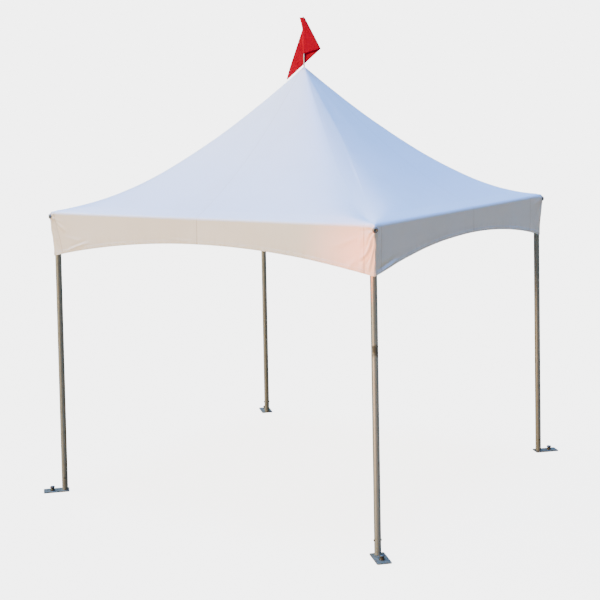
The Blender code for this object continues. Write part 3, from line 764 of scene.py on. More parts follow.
def seam_distance(shape):
    """Signed distance to the nearest upright seam: face middles, corner flaps and joints."""
    drop = np.maximum(shape.drop, 0.0)
    seams = {
        0: [-0.030 + 0.0 * drop, 1.428 + 0.0 * drop, -1.498 + 0.209 * drop],
        1: [0.080 + 0.0 * drop, -1.446 + 0.0 * drop, 1.262 + 0.0 * drop],
        2: [0.020 + 0.0 * drop, 1.428 + 0.0 * drop, -1.450 + 0.0 * drop],
        3: [-0.015 + 0.0 * drop, 1.428 + 0.0 * drop, -1.450 + 0.0 * drop],
    }
    result = np.full(shape.along.shape, 9.0)
    roof = shape.kind[:, None] == 0
    for side, lines in seams.items():
        for index, line in enumerate(lines):
            distance = shape.along - line
            allowed = (shape.side == side) & (~roof | (index == 0)) & (shape.turn == 0)
            nearer = allowed & (np.abs(distance) < np.abs(result))
            result = np.where(nearer, distance, result)
    return result


def canopy_mesh(shape):
    """The outer skin as a mesh that carries the cloth's own coordinates."""
    rows, columns = shape.along.shape
    index = np.arange(rows * columns).reshape(rows, columns)
    after = np.roll(index, -1, 1)
    faces = np.stack([index[:-1], index[1:], after[1:], after[:-1]], -1).reshape(-1, 4)
    mesh = bpy.data.meshes.new("canopy")
    mesh.from_pydata(shape.points.reshape(-1, 3).tolist(), [], faces.tolist())
    x, y = shape.points[:, :, 0], shape.points[:, :, 1]
    numbers = {
        "along": shape.along, "length": shape.length, "hem": shape.hem_left, "seam": seam_distance(shape),
        "hip": (np.abs(x) - np.abs(y)) / math.sqrt(2), "corner": shape.away,
        "drop": np.where(shape.kind[:, None] == 0, -0.03, shape.drop),
        "upright": np.where(shape.kind[:, None] == 2, 1.0, 0.0) + 0.0 * shape.along,
    }
    for name, values in numbers.items():
        layer = mesh.attributes.new(name, "FLOAT", "POINT")
        layer.data.foreach_set("value", np.ascontiguousarray(values, dtype=np.float32).ravel())
    return mesh


def vinyl_finish(colours):
    """Coated cloth: fine weave under a soft sheen, welded and sewn seams, dust and faint stains, painted sky light on
    the roof, along the eave and beside the corners, and painted shade along the seam and hem edges.
    """
    finish = Finish("white_vinyl")
    place = finish.place()
    along, length = finish.attribute("along"), finish.attribute("length")
    hem, seam = finish.attribute("hem"), finish.attribute("seam")
    hip, drop = finish.attribute("hip"), finish.attribute("drop")
    upright, corner = finish.attribute("upright"), finish.attribute("corner")
    threads = (along * (math.tau / 0.0026)).sine() * (length * (math.tau / 0.0026)).sine()
    cloudy = finish.noise(place, 1.7, 4.0, 0.55)
    mottled = finish.noise(place, 9.0, 5.0, 0.6)
    speckle = finish.noise(place, 130.0, 3.0, 0.6)
    streaks = finish.noise(finish.vector(along * 34.0, length * 2.4, 0.0), 1.0, 4.0, 0.6)
    crumple = finish.noise(finish.stretched(place, (1.0, 1.0, 0.7)), 14.0, 4.0, 0.5, 0.6)

    weld = seam.line(0.0125, 0.0008)
    # weld_edge and hem_edge mark the edges of the welded seams and of the hem; their darkening below is painted
    # shade.
    weld_edge = (seam - 0.0125).line(0.0022, 0.0022) + (seam + 0.0125).line(0.0006, 0.0010) * 0.4
    beat = (length / 0.0062).fraction().rise(0.60, 0.66)
    sewn_seam = (abs(seam) - 0.0095).line(0.00045, 0.0004) * (1 - beat)
    run = (along / 0.0062).fraction().rise(0.60, 0.66)
    sewn_hem = ((hem - 0.0225).line(0.00045, 0.0004) + (hem - 0.0040).line(0.00045, 0.0004)).least(1.0) * (1 - run)
    hem_edge = (hem - 0.0265).line(0.0007, 0.0009)
    hip_weld = hip.line(0.011, 0.0010) * (1 - upright)
    hip_edge = (abs(hip) - 0.011).line(0.0006, 0.0010) * (1 - upright)
    eave_band = (abs(length + 0.045)).rise(0.052, 0.046)
    eave_stitch = ((length + 0.091).line(0.0005, 0.0005)) * (1 - run)
    sewn = (sewn_seam + sewn_hem + eave_stitch).least(1.0)

    low = upright * hem.rise(0.10, 0.0)
    # Real dust, streaks and smudges, plus painted shade: the dark lines beside each welded seam (weld_edge), stronger
    # on the valance, are painted shadow of the seam's raised edge, and the dark line at the hem's top (hem_edge) is
    # painted shade under the hem's step. hip_edge darkens the hip weld's edges and sewn darkens the stitch lines.
    dust_and_shade = (low * 0.22 * streaks.rise(0.35, 0.75) + cloudy.rise(0.48, 0.75) * 0.10
            + mottled.rise(0.60, 0.85) * 0.10 + speckle.rise(0.66, 0.80) * 0.20
            + hem_edge * 0.45 + weld_edge * (0.25 + 0.40 * upright) + hip_edge * 0.10 + sewn * 0.25)
    bolt = (corner * corner + (drop - BOLT_DROP) * (drop - BOLT_DROP)) ** 0.5
    dust_and_shade = dust_and_shade + bolt.rise(0.085, 0.020) * drop.rise(-0.029, -0.020) * mottled.rise(0.35, 0.65) * 0.40
    colour = finish.mix((cloudy - 0.5) * 0.6 + 0.5, [c * 0.97 for c in colours.vinyl],
                        [min(c * 1.03, 1.0) for c in colours.vinyl])
    # Painted sky light: the roof is tinted cool blue, halfway all over and more towards the peak; the valance stays
    # neutral.
    cool = length.rise(-1.6, -0.1) * (1 - upright)
    colour = finish.mix((1 - upright) * 0.5 + cool * 0.5, colour, (0.72, 0.77, 0.84))
    # Painted sky light: the band along the eave is painted lighter and bluer where the roof flattens towards the
    # rail. The same band is also a raised strip in the relief.
    colour = finish.mix(eave_band * 0.35, colour, (0.80, 0.83, 0.87))
    colour = finish.mix(dust_and_shade.least(1.0).most(0.0), colour, colours.dust_and_shade)
    # Painted sky light: a bluer strip on the valance beside each corner, where the cloth turns round the corner.
    strip = (corner - 0.052).line(0.022, 0.002) * upright
    colour = finish.mix(strip * 0.35, colour, (0.70, 0.76, 0.84))
    roughness = 0.40 + mottled * 0.10 + dust_and_shade * 0.30 + weld * -0.05

    relief = (threads * 0.05 + crumple * 0.9 + streaks * 0.10 + weld * 0.45 + hip_weld * 0.30
              + eave_band * 0.30 - sewn * 0.45 - weld_edge * 0.15 - hem_edge * 0.2)
    normal = finish.bump(relief, 0.0010)
    return finish.shade(Base_Color=colour, Roughness=roughness, Normal=normal, Specular_IOR_Level=0.42,
                        Sheen_Weight=0.06)


class TentOperator:
    """What all of the tent's operators share."""

    bl_options = {"REGISTER", "UNDO"}

    @property
    def cloth(self):
        return bpy.context.scene.tent_cloth

    @property
    def colours(self):
        return bpy.context.scene.tent_finish


class TENT_OT_canopy(TentOperator, Operator):
    """Build the canopy: roof, eave roll and valance as one skin"""

    bl_idname = "tent.canopy"
    bl_label = "Canopy"

    def execute(self, context):
        shape = shape_canopy(self.cloth)
        nodes = ["canopy_roof"] + [f"valance_{side}" for side in SIDES]
        piece = add_piece("canopy", canopy_mesh(shape), vinyl_finish(self.colours), nodes, 70.0)
        thickness = piece.modifiers.new("cloth", "SOLIDIFY")
        thickness.thickness = self.cloth.cloth
        thickness.offset = -1.0
        thickness.use_even_offset = True
        return {"FINISHED"}


# ---------------------------------------------------------------- pennant

def pennant_point(cloth, across, drop):
    """Place of a point of the flat pennant, folded once and hung from the rod.

    across runs from the hoist to the fly and is negative in the sleeve. In the result X points to
    the fold and Y to the back layer.
    """
    sleeve = ROD_RADIUS + 0.0026
    top = 3.942
    if across <= 0.0:
        angle = -math.pi / 2 + across / sleeve
        flare = 0.024 * max(0.0, 1.0 - drop / 0.12) ** 1.5
        width = sleeve + (flare if math.cos(angle) < 0.0 else 0.0)
        return Vector((width * math.cos(angle), sleeve * math.sin(angle), top - drop))
    lean = math.radians(61.5)
    along = Vector((math.cos(lean), -math.sin(lean)))
    normal = Vector((math.sin(lean), math.cos(lean)))
    point = Vector((across + 0.004, -drop))
    beyond = point.dot(normal)
    crease_point = along * point.dot(along) + Vector((-0.004, 0.0))
    share = min(max(point.dot(along) / 0.300, 0.0), 1.0)
    radius = 0.0140 + (0.0050 - 0.0140) * share
    turned_length = math.pi * radius
    if beyond <= 0.0:
        flat, depth = crease_point + normal * beyond, 0.0
    elif beyond < turned_length:
        angle = beyond / radius
        flat = crease_point + normal * (radius * math.sin(angle))
        depth = radius * (1.0 - math.cos(angle))
    else:
        flat = crease_point - normal * (beyond - turned_length)
        depth = 2.0 * radius + 0.05 * (beyond - turned_length)
    slack = fade(np.array(across), 0.02, 0.16)
    ripple = 0.0030 * math.sin(31.0 * across + 12.0 * drop) + 0.0016 * math.sin(67.0 * across - 19.0 * drop + 1.0)
    return Vector((flat.x, depth - sleeve + float(slack) * ripple, top + flat.y))


def nylon_finish(colours):
    """Woven nylon with a darker hem, hem stitches and a cloudy tone."""
    finish = Finish("red_nylon")
    across, edge = finish.attribute("across"), finish.attribute("edge")
    down = finish.attribute("down")
    place = finish.place()
    threads = (across * (math.tau / 0.0012)).sine() * (down * (math.tau / 0.0012)).sine()
    slubs = finish.noise(finish.vector(across * 60.0, down * 900.0, 0.0), 1.0, 2.0)
    cloudy = finish.noise(place, 16.0, 4.0, 0.55)
    run = (across / 0.0040).fraction().rise(0.60, 0.68)
    stitches = (edge - 0.0085).line(0.0004, 0.0004) * (1 - run)
    hem = edge.rise(0.0108, 0.0100)
    shade = 0.92 + cloudy * 0.14 + slubs * 0.04
    colour = finish.tinted(list(colours.nylon), shade)
    colour = finish.mix(hem * 0.30, colour, [c * 0.72 for c in colours.nylon])
    colour = finish.mix(stitches * 0.6, colour, (0.52, 0.004, 0.03))
    relief = threads * 0.14 + slubs * 0.15 + hem * 0.8 - stitches * 0.8 + cloudy * 0.5
    return finish.shade(Base_Color=colour, Roughness=0.60 + cloudy * 0.12, Normal=finish.bump(relief, 0.0003),
                        Specular_IOR_Level=0.0)


class TENT_OT_pennant(TentOperator, Operator):
    """Build the folded pennant on its rod"""

    bl_idname = "tent.pennant"
    bl_label = "Pennant"

    def execute(self, context):
        cloth = self.cloth
        fly, hoist = cloth.pennant_fly, cloth.pennant_hoist
        wrap = math.radians(225.0) * (ROD_RADIUS + 0.0026)
        stations = [-wrap * (1.0 - step / 20) for step in range(20)]
        stations += [fly * 0.97 * step / 150 for step in range(151)]
        steps = 44
        place = Matrix.Rotation(math.radians(33.0), 4, "Z")
        points, numbers = [], {"across": [], "down": [], "edge": []}
        slope = math.atan(hoist / 2 / fly)
        for across in stations:
            taper = hoist / 2 * max(across, 0.0) / fly
            height = hoist - 2.0 * taper
            for step in range(steps + 1):
                drop = taper + height * step / steps
                points.append(place @ pennant_point(cloth, across, drop))
                numbers["across"].append(across)
                numbers["down"].append(drop)
                side = min(drop - taper, taper + height - drop) * math.cos(slope)
                numbers["edge"].append(min(side, abs(across - 0.016) + 0.0085 if across < 0.05 else 1.0))
        row = steps + 1
        faces = [(start + index, start + row + index, start + row + index + 1, start + index + 1)
                 for start in range(0, (len(stations) - 1) * row, row) for index in range(steps)]
        mesh = bpy.data.meshes.new("pennant")
        mesh.from_pydata(points, [], faces)
        for name, values in numbers.items():
            layer = mesh.attributes.new(name, "FLOAT", "POINT")
            layer.data.foreach_set("value", np.array(values, dtype=np.float32))
        piece = add_piece("pennant_cloth", mesh, nylon_finish(self.colours), ["pennant"], 60.0)
        thickness = piece.modifiers.new("cloth", "SOLIDIFY")
        thickness.thickness = cloth.pennant_cloth
        thickness.offset = 0.0
        return {"FINISHED"}


# ---------------------------------------------------------------- metal finishes

def aluminium_finish(colours):
    """Weathered mill-finish tube: drawn lines, dull oxide, grime towards the ground, two dark marks on the front
    right leg, and painted light that brightens the front right leg.
    """
    finish = Finish("aluminium_tube")
    place = finish.place()
    x, y, z = finish.axes(place)
    drawn = finish.noise(finish.stretched(place, (420.0, 420.0, 5.0)), 1.0, 3.0, 0.6)
    oxide = finish.noise(finish.stretched(place, (30.0, 30.0, 6.0)), 1.0, 5.0, 0.6, 0.4)
    blotch = finish.noise(place, 22.0, 5.0, 0.6)
    scratches = finish.noise(finish.stretched(place, (90.0, 90.0, 700.0)), 1.0, 2.0, 0.6).rise(0.68, 0.74)
    foot = z.rise(0.36, 0.02) * (0.45 + 0.55 * blotch)
    stain = blotch.rise(0.52, 0.72) * 0.35
    colour = finish.mix(oxide.rise(0.35, 0.70) * 0.5, list(colours.aluminium), (0.175, 0.195, 0.180))
    colour = finish.mix(drawn.rise(0.35, 0.75) * 0.22, colour, (0.36, 0.38, 0.37))
    colour = finish.mix(stain * 0.5, colour, (0.120, 0.130, 0.100))
    colour = finish.mix(foot * 0.55, colour, (0.100, 0.110, 0.090))
    # Painted light: the front right leg is made brighter than the others, standing in for the warm light that falls
    # on it.
    painted_light_front_leg = x.rise(1.20, 1.40) * y.rise(-1.20, -1.40)
    colour = finish.tinted(colour, 1 + painted_light_front_leg * 0.28)
    # Two dark marks on the front right leg, one at the joint and one lower down.
    dark_marks = None
    for point, size, tall in (((1.512, -1.502, 1.493), 0.040, 0.045), ((1.535, -1.500, 0.66), 0.024, 0.075)):
        offset = finish.node("VectorMath", {"operation": "SUBTRACT"}, {0: place, 1: point})
        offset = finish.stretched(offset, (1 / size, 1 / size, 1 / tall))
        near = finish.node("VectorMath", {"operation": "LENGTH"}, {0: offset}, output="Value")
        patch = (near + (blotch - 0.5) * 1.6).rise(1.25, 0.75)
        dark_marks = patch if dark_marks is None else dark_marks.most(patch)
    colour = finish.mix(dark_marks * 0.9, colour, list(colours.dark_marks))
    roughness = 0.36 + oxide * 0.18 + foot * 0.25 + dark_marks * 0.25 + scratches * 0.15
    relief = drawn * 0.35 + blotch * 0.6 - scratches * 0.4 + dark_marks * 0.8
    metal = 0.82 - dark_marks * 0.7 - foot * 0.35
    return finish.shade(Base_Color=colour, Roughness=roughness, Metallic=metal,
                        Normal=finish.bump(relief, 0.00025))


def casting_finish(colours):
    """Sand-cast aluminium: a grainy, pitted skin, lighter and darker in patches."""
    finish = Finish("cast_aluminium")
    place = finish.place()
    grain = finish.noise(place, 620.0, 3.0, 0.6)
    pits = finish.cells(place, 260.0).rise(0.30, 0.12)
    cloudy = finish.noise(place, 28.0, 5.0, 0.6)
    colour = finish.mix(cloudy.rise(0.35, 0.70) * 0.7, list(colours.casting), (0.20, 0.20, 0.19))
    colour = finish.mix(pits * 0.4, colour, (0.14, 0.13, 0.12))
    return finish.shade(Base_Color=colour, Roughness=0.46 + cloudy * 0.2, Metallic=0.75 - pits * 0.3,
                        Normal=finish.bump(grain * 0.6 - pits * 0.5 + cloudy * 0.4, 0.0004))


def zinc_finish(colours):
    """Hot-dip zinc with its spangle, dulled, with patches of rust."""
    finish = Finish("galvanised_steel")
    place = finish.place()
    x, y, z = finish.axes(place)
    spangle = finish.node("TexVoronoi", {"feature": "F1"}, {"Vector": place, "Scale": 95.0}, "Color")
    tone = finish.axes(spangle)[0]
    edges = finish.cells(place, 95.0, "DISTANCE_TO_EDGE").rise(0.10, 0.0)
    cloudy = finish.noise(place, 18.0, 5.0, 0.62)
    fine = finish.noise(place, 300.0, 3.0, 0.6)
    colour = finish.mix(tone * 0.55, [c * 0.72 for c in colours.zinc], [min(1, c * 1.35) for c in colours.zinc])
    colour = finish.mix(edges * 0.25, colour, (0.05, 0.06, 0.065))
    rust = cloudy.rise(0.56, 0.72) * 0.55
    low = z.rise(0.012, 0.002) * cloudy.rise(0.40, 0.62) * 0.6
    rust = rust.most(low)
    colour = finish.mix(rust, colour, list(colours.rust))
    roughness = 0.40 + tone * 0.14 + rust * 0.4
    relief = tone * 0.15 - edges * 0.12 + fine * 0.25 + rust * 0.5
    return finish.shade(Base_Color=colour, Roughness=roughness, Metallic=0.80 - rust * 0.7,
                        Normal=finish.bump(relief, 0.0004))


def iron_finish(colours, name, rusty):
    """Dark worn steel with rubbed patches and rust."""
    finish = Finish(name)
    place = finish.place()
    cloudy = finish.noise(place, 45.0, 5.0, 0.65)
    fine = finish.noise(place, 420.0, 3.0, 0.6)
    pits = finish.cells(place, 330.0).rise(0.28, 0.10)
    rubbed = finish.noise(finish.stretched(place, (80.0, 80.0, 80.0)), 1.0, 3.0, 0.7).rise(0.58, 0.70)
    colour = finish.mix(cloudy.rise(0.35, 0.70), list(colours.iron), [c * 0.55 for c in colours.iron])
    colour = finish.mix(rubbed * 0.5, colour, (0.26, 0.29, 0.27))
    rust = (cloudy + fine * 0.2).rise(0.62, 0.78) * rusty
    colour = finish.mix(rust, colour, list(colours.rust))
    return finish.shade(Base_Color=colour, Roughness=0.42 + cloudy * 0.2 + rust * 0.3,
                        Metallic=0.85 - rust * 0.75,
                        Normal=finish.bump(fine * 0.4 - pits * 0.5 + cloudy * 0.5, 0.0004))


def ring_finish(colours):
    """Worn ring of dull alloy, lighter and darker in patches, with dark specks where dirt sits."""
    finish = Finish("corner_ring_alloy")
    place = finish.place()
    cloudy = finish.noise(place, 60.0, 5.0, 0.6)
    fine = finish.noise(place, 500.0, 3.0, 0.6)
    colour = finish.mix(cloudy.rise(0.35, 0.68), (0.22, 0.26, 0.25), (0.09, 0.11, 0.10))
    colour = finish.mix(fine.rise(0.60, 0.75) * 0.4, colour, list(colours.dark_marks))
    return finish.shade(Base_Color=colour, Roughness=0.44 + cloudy * 0.2, Metallic=0.4,
                        Normal=finish.bump(fine * 0.5 + cloudy * 0.4, 0.0003))


def rod_finish():
    """Pale grey painted rod, scuffed down its length."""
    finish = Finish("pale_rod")
    place = finish.place()
    scuffs = finish.noise(finish.stretched(place, (300.0, 300.0, 22.0)), 1.0, 4.0, 0.6)
    colour = finish.mix(scuffs.rise(0.45, 0.75) * 0.6, (0.52, 0.50, 0.46), (0.26, 0.25, 0.22))
    return finish.shade(Base_Color=colour, Roughness=0.45 + scuffs * 0.2, Normal=finish.bump(scuffs, 0.0002))


def wire_finish(colours):
    """Galvanised wire rope and its pressed terminals."""
    finish = Finish("wire_rope")
    place = finish.place()
    cloudy = finish.noise(place, 40.0, 4.0, 0.6)
    fine = finish.noise(place, 700.0, 2.0, 0.6)
    colour = finish.mix(cloudy.rise(0.35, 0.70), (0.46, 0.47, 0.48), (0.27, 0.27, 0.27))
    colour = finish.mix(fine.rise(0.60, 0.75) * 0.5, colour, (0.12, 0.11, 0.10))
    return finish.shade(Base_Color=colour, Roughness=0.34 + cloudy * 0.2, Metallic=0.9,
                        Normal=finish.bump(fine * 0.5 + cloudy * 0.3, 0.0003))


# ---------------------------------------------------------------- hardware

def tube_profile(radius, wall, low, high, groove=None):
    """Closed profile of a tube with eased ends, and a joint line if a height is given."""
    inner, ease = radius - wall, 0.0006
    outside = [(radius - ease, high), (radius, high - ease)]
    if groove is not None:
        outside += [(radius, groove + 0.0015), (radius - 0.0010, groove + 0.0009),
                    (radius - 0.0010, groove - 0.0009), (radius, groove - 0.0015)]
    outside += [(radius, low + ease), (radius - ease, low), (inner + ease, low), (inner, low + ease),
                (inner, high - ease), (inner + ease, high), (radius - ease, high)]
    return outside


class TENT_OT_tubes(TentOperator, Operator):
    """Build the legs with their joint and snap button, the eave rails and the mast"""

    bl_idname = "tent.tubes"
    bl_label = "Tubes"

    def execute(self, context):
        material = aluminium_finish(self.colours)
        low = PLATE_THICKNESS + 0.0003 + TUBE_RADIUS * math.tan(LEG_LEAN)
        high = LEG_LENGTH - 0.101 - 0.0003
        for name, degrees in CORNERS.items():
            work = bmesh.new()
            place = leg_frame(degrees)
            turned(work, tube_profile(TUBE_RADIUS, 0.0030, low, high, 1.553), place, 64)
            # The button sits just under the joint, on the side that faces the front.
            button = place @ Matrix.Rotation(math.radians(-90.0 - degrees - 12.0), 4, "Z") @ lift(1.530) @ LAY_X
            head = TUBE_RADIUS - 0.0006
            turned(work, rounded([(0.0, head + 0.0034), (0.0036, head + 0.0030), (0.0046, head + 0.0008),
                                  (0.0046, head - 0.0010), (0.0, head - 0.0010)], 0.0006), button, 24)
            add_piece(f"tube_leg_{name}", mesh_of(work, "leg"), material, [f"leg_{name}"])
        for name, degrees in SIDES.items():
            half = HALF - 0.090 - 0.0003
            work = bmesh.new()
            place = spin(degrees) @ Matrix.Translation((0.0, -HALF, RAIL_HEIGHT)) @ LAY_X
            turned(work, tube_profile(TUBE_RADIUS, 0.0030, -half, half), place, 64)
            add_piece(f"tube_rail_{name}", mesh_of(work, "rail"), material, [f"eave_rail_{name}"])
        low_point, high_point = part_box("mast")
        work = bmesh.new()
        turned(work, tube_profile(TUBE_RADIUS, 0.0030, low_point.z, high_point.z), Matrix.Identity(4), 64)
        add_piece("tube_mast", mesh_of(work, "mast"), material, ["mast"])
        return {"FINISHED"}


class TENT_OT_corner_bolts(TentOperator, Operator):
    """Build the hollow-headed bolts and washers at the canopy's corners"""

    bl_idname = "tent.corner_bolts"
    bl_label = "Corner bolts"

    def execute(self, context):
        ring = ring_finish(self.colours)
        core = iron_finish(self.colours, "corner_bolt_steel", 0.25)
        cloth = self.cloth
        bulge = cloth.roll_radius * math.sqrt(2) - cloth.corner_radius * (math.sqrt(2) - 1)
        seat = bulge + CORNER_FLARE + 0.0030
        profile = rounded([
            (0.0, seat + 0.0042), (0.0058, seat + 0.0040), (0.0064, seat + 0.0026), (0.0096, seat + 0.0024),
            (0.0102, seat + 0.0094), (0.0128, seat + 0.0114), (0.0166, seat + 0.0090), (0.0182, seat + 0.0044),
            (0.0212, seat + 0.0024), (0.0217, seat - 0.0002), (0.0060, seat), (0.0060, 0.0), (0.0, 0.0)], 0.0011)
        for name, degrees in CORNERS.items():
            work = bmesh.new()
            place = corner_frame(degrees) @ lift(-BOLT_DROP) @ LAY_X
            turned(work, profile, place, 56)
            back = place.inverted()
            for face in work.faces:
                face.material_index = int((back @ face.calc_center_median()).xy.length < 0.0099)
            piece = add_piece(f"corner_button_{name}", mesh_of(work, "corner_bolt"), ring,
                              [f"corner_bolt_{name}"])
            piece.data.materials.append(core)
        return {"FINISHED"}


class TENT_OT_stakes(TentOperator, Operator):
    """Build the stakes with their hammered heads"""

    bl_idname = "tent.stakes"
    bl_label = "Stakes"

    def execute(self, context):
        material = iron_finish(self.colours, "stake_iron", 0.75)
        seat = PLATE_THICKNESS + 0.0003
        profile = rounded([
            (0.0, 0.0458), (0.0060, 0.0456), (0.0115, 0.0448), (0.0186, 0.0418), (0.0222, 0.0366), (0.0208, 0.0322),
            (0.0165, 0.0292), (0.0158, 0.0230), (0.0165, seat + 0.0062), (0.0205, seat + 0.0046),
            (0.0207, seat), (0.0135, seat), (0.0135, 0.0), (0.0, 0.0)], 0.0012)
        for index, (name, degrees) in enumerate(CORNERS.items()):
            def hammered(point, angle, index=index):
                if point.z < 0.030:
                    return point
                dent = 0.0007 * math.sin(3 * angle + index) + 0.0006 * math.sin(5 * angle + 2.1 * index)
                dent += 0.0004 * math.sin(11 * angle + 0.7 * index)
                size = 1.0 + dent / 0.022 * fade(np.array(point.z), 0.030, 0.037)
                slope = 0.0008 * math.cos(angle - index) * min(point.xy.length / 0.02, 1.0)
                return Vector((point.x * size, point.y * size, min(point.z + slope, 0.0460)))
            work = bmesh.new()
            place = foot_frame(degrees) @ Matrix.Translation((STAKE_OFFSET, 0.0, 0.0))
            turned(work, profile, place, 56, hammered)
            add_piece(f"stake_head_{name}", mesh_of(work, "stake"), material, [f"stake_{name}"])
        return {"FINISHED"}


class TENT_OT_foot_bolts(TentOperator, Operator):
    """Build the button-headed bolts through the legs' feet"""

    bl_idname = "tent.foot_bolts"
    bl_label = "Foot bolts"

    def execute(self, context):
        material = iron_finish(self.colours, "foot_bolt_steel", 0.4)
        head = TUBE_RADIUS + 0.0004
        for name, degrees in CORNERS.items():
            work = bmesh.new()
            place = leg_frame(degrees) @ lift(FOOT_BOLT_HEIGHT) @ LAY_Y
            turned(work, rounded([
                (0.0, head + 0.0026), (0.0026, head + 0.0026), (0.0030, head + 0.0048), (0.0050, head + 0.0046),
                (0.0074, head + 0.0026), (0.0078, head), (0.0040, head), (0.0040, -head), (0.0040, -head),
                (0.0, -head)], 0.0005), place, 32)
            nut = [[place @ (Matrix.Rotation(math.radians(60 * side), 3, "Z") @ Vector((0.0070 * wide, 0.0, -height)))
                    for side in range(6)] for height, wide in
                   ((head, 0.96), (head + 0.0004, 1.0), (head + 0.0046, 1.0), (head + 0.0050, 0.94))]
            ring_faces(work, nut)
            add_piece(f"foot_bolt_{name}", mesh_of(work, "foot_bolt"), material,
                      [f"base_bolt_{name}"], 30.0)
        return {"FINISHED"}


def strand_section(angle, radius):
    """Distance from the rope's axis to its surface, for six strands laid round a core."""
    strand = radius / 3.0
    reach = radius - strand
    off = (angle + math.pi / 6) % (math.pi / 3) - math.pi / 6
    inside = max(strand ** 2 - (reach * math.sin(off)) ** 2, 0.0)
    return reach * math.cos(off) + math.sqrt(inside)


class TENT_OT_brace_cables(TentOperator, Operator):
    """Build the wire ropes that carry the mast, with their pressed and forked ends"""

    bl_idname = "tent.brace_cables"
    bl_label = "Brace cables"

    def execute(self, context):
        material = wire_finish(self.colours)
        start = Vector((DIAGONAL - 0.060, 0.0, RAIL_HEIGHT - 0.061))
        end = Vector((0.055, 0.0, MAST_FOOT_HEIGHT))
        length = (start - end).length
        fall = math.asin((start.z - end.z) / length)
        for name, degrees in CORNERS.items():
            place = spin(degrees) @ Matrix.Translation(end) @ Matrix.Rotation(-fall, 4, "Y")
            work = bmesh.new()
            rings, first, last = [], 0.080, length - 0.080
            rows = 400
            for row in range(rows + 1):
                x = first + (last - first) * row / rows
                twist = math.tau * x / 0.052
                ring = []
                for step in range(36):
                    angle = math.tau * step / 36
                    radius = strand_section(angle, 0.0040)
                    ring.append(place @ Vector((x, radius * math.cos(angle + twist),
                                                radius * math.sin(angle + twist))))
                rings.append(ring)
            ring_faces(work, rings)
            for root, heading in ((0.0, 0.0), (length, math.pi)):
                seat = place @ Matrix.Translation((root, 0.0, 0.0)) @ Matrix.Rotation(heading, 4, "Z")
                turned(work, rounded([
                    (0.0, 0.030), (0.0075, 0.030), (0.0075, 0.088), (0.0062, 0.0945), (0.0041, 0.0950),
                    (0.0, 0.0950)], 0.0012), seat @ LAY_X, 32)
                for side in (-1, 1):
                    low, high = sorted((side * 0.0037, side * 0.0080))
                    block(work, (-0.010, low, -0.010), (0.022, high, 0.010), seat, 0.0018)
                block(work, (0.0205, -0.0080, -0.0100), (0.036, 0.0080, 0.0100), seat, 0.0020)
                turned(work, rounded([(0.0, 0.0115), (0.0050, 0.0115), (0.0050, -0.0115), (0.0, -0.0115)], 0.0008),
                       seat @ LAY_Y, 28)
            add_piece(f"wire_rope_{name}", mesh_of(work, "wire_rope"), material,
                      [f"brace_cable_{name}"])
        return {"FINISHED"}


class TENT_OT_frame_finishes(TentOperator, Operator):
    """Give the cast fittings, base plates and flag rod their finishes"""

    bl_idname = "tent.frame_finishes"
    bl_label = "Frame finishes"

    def execute(self, context):
        casting, zinc = casting_finish(self.colours), zinc_finish(self.colours)
        finishes = {f"corner_fitting_{name}": casting for name in CORNERS}
        finishes |= {f"base_plate_{name}": zinc for name in CORNERS}
        finishes |= {"mast_foot": casting, "mast_head": casting, "flag_rod": rod_finish()}
        for name, material in finishes.items():
            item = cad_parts[name]
            for entry in item.material_slots:
                entry.link = "OBJECT"
                entry.material = material
        return {"FINISHED"}


# ---------------------------------------------------------------- stage

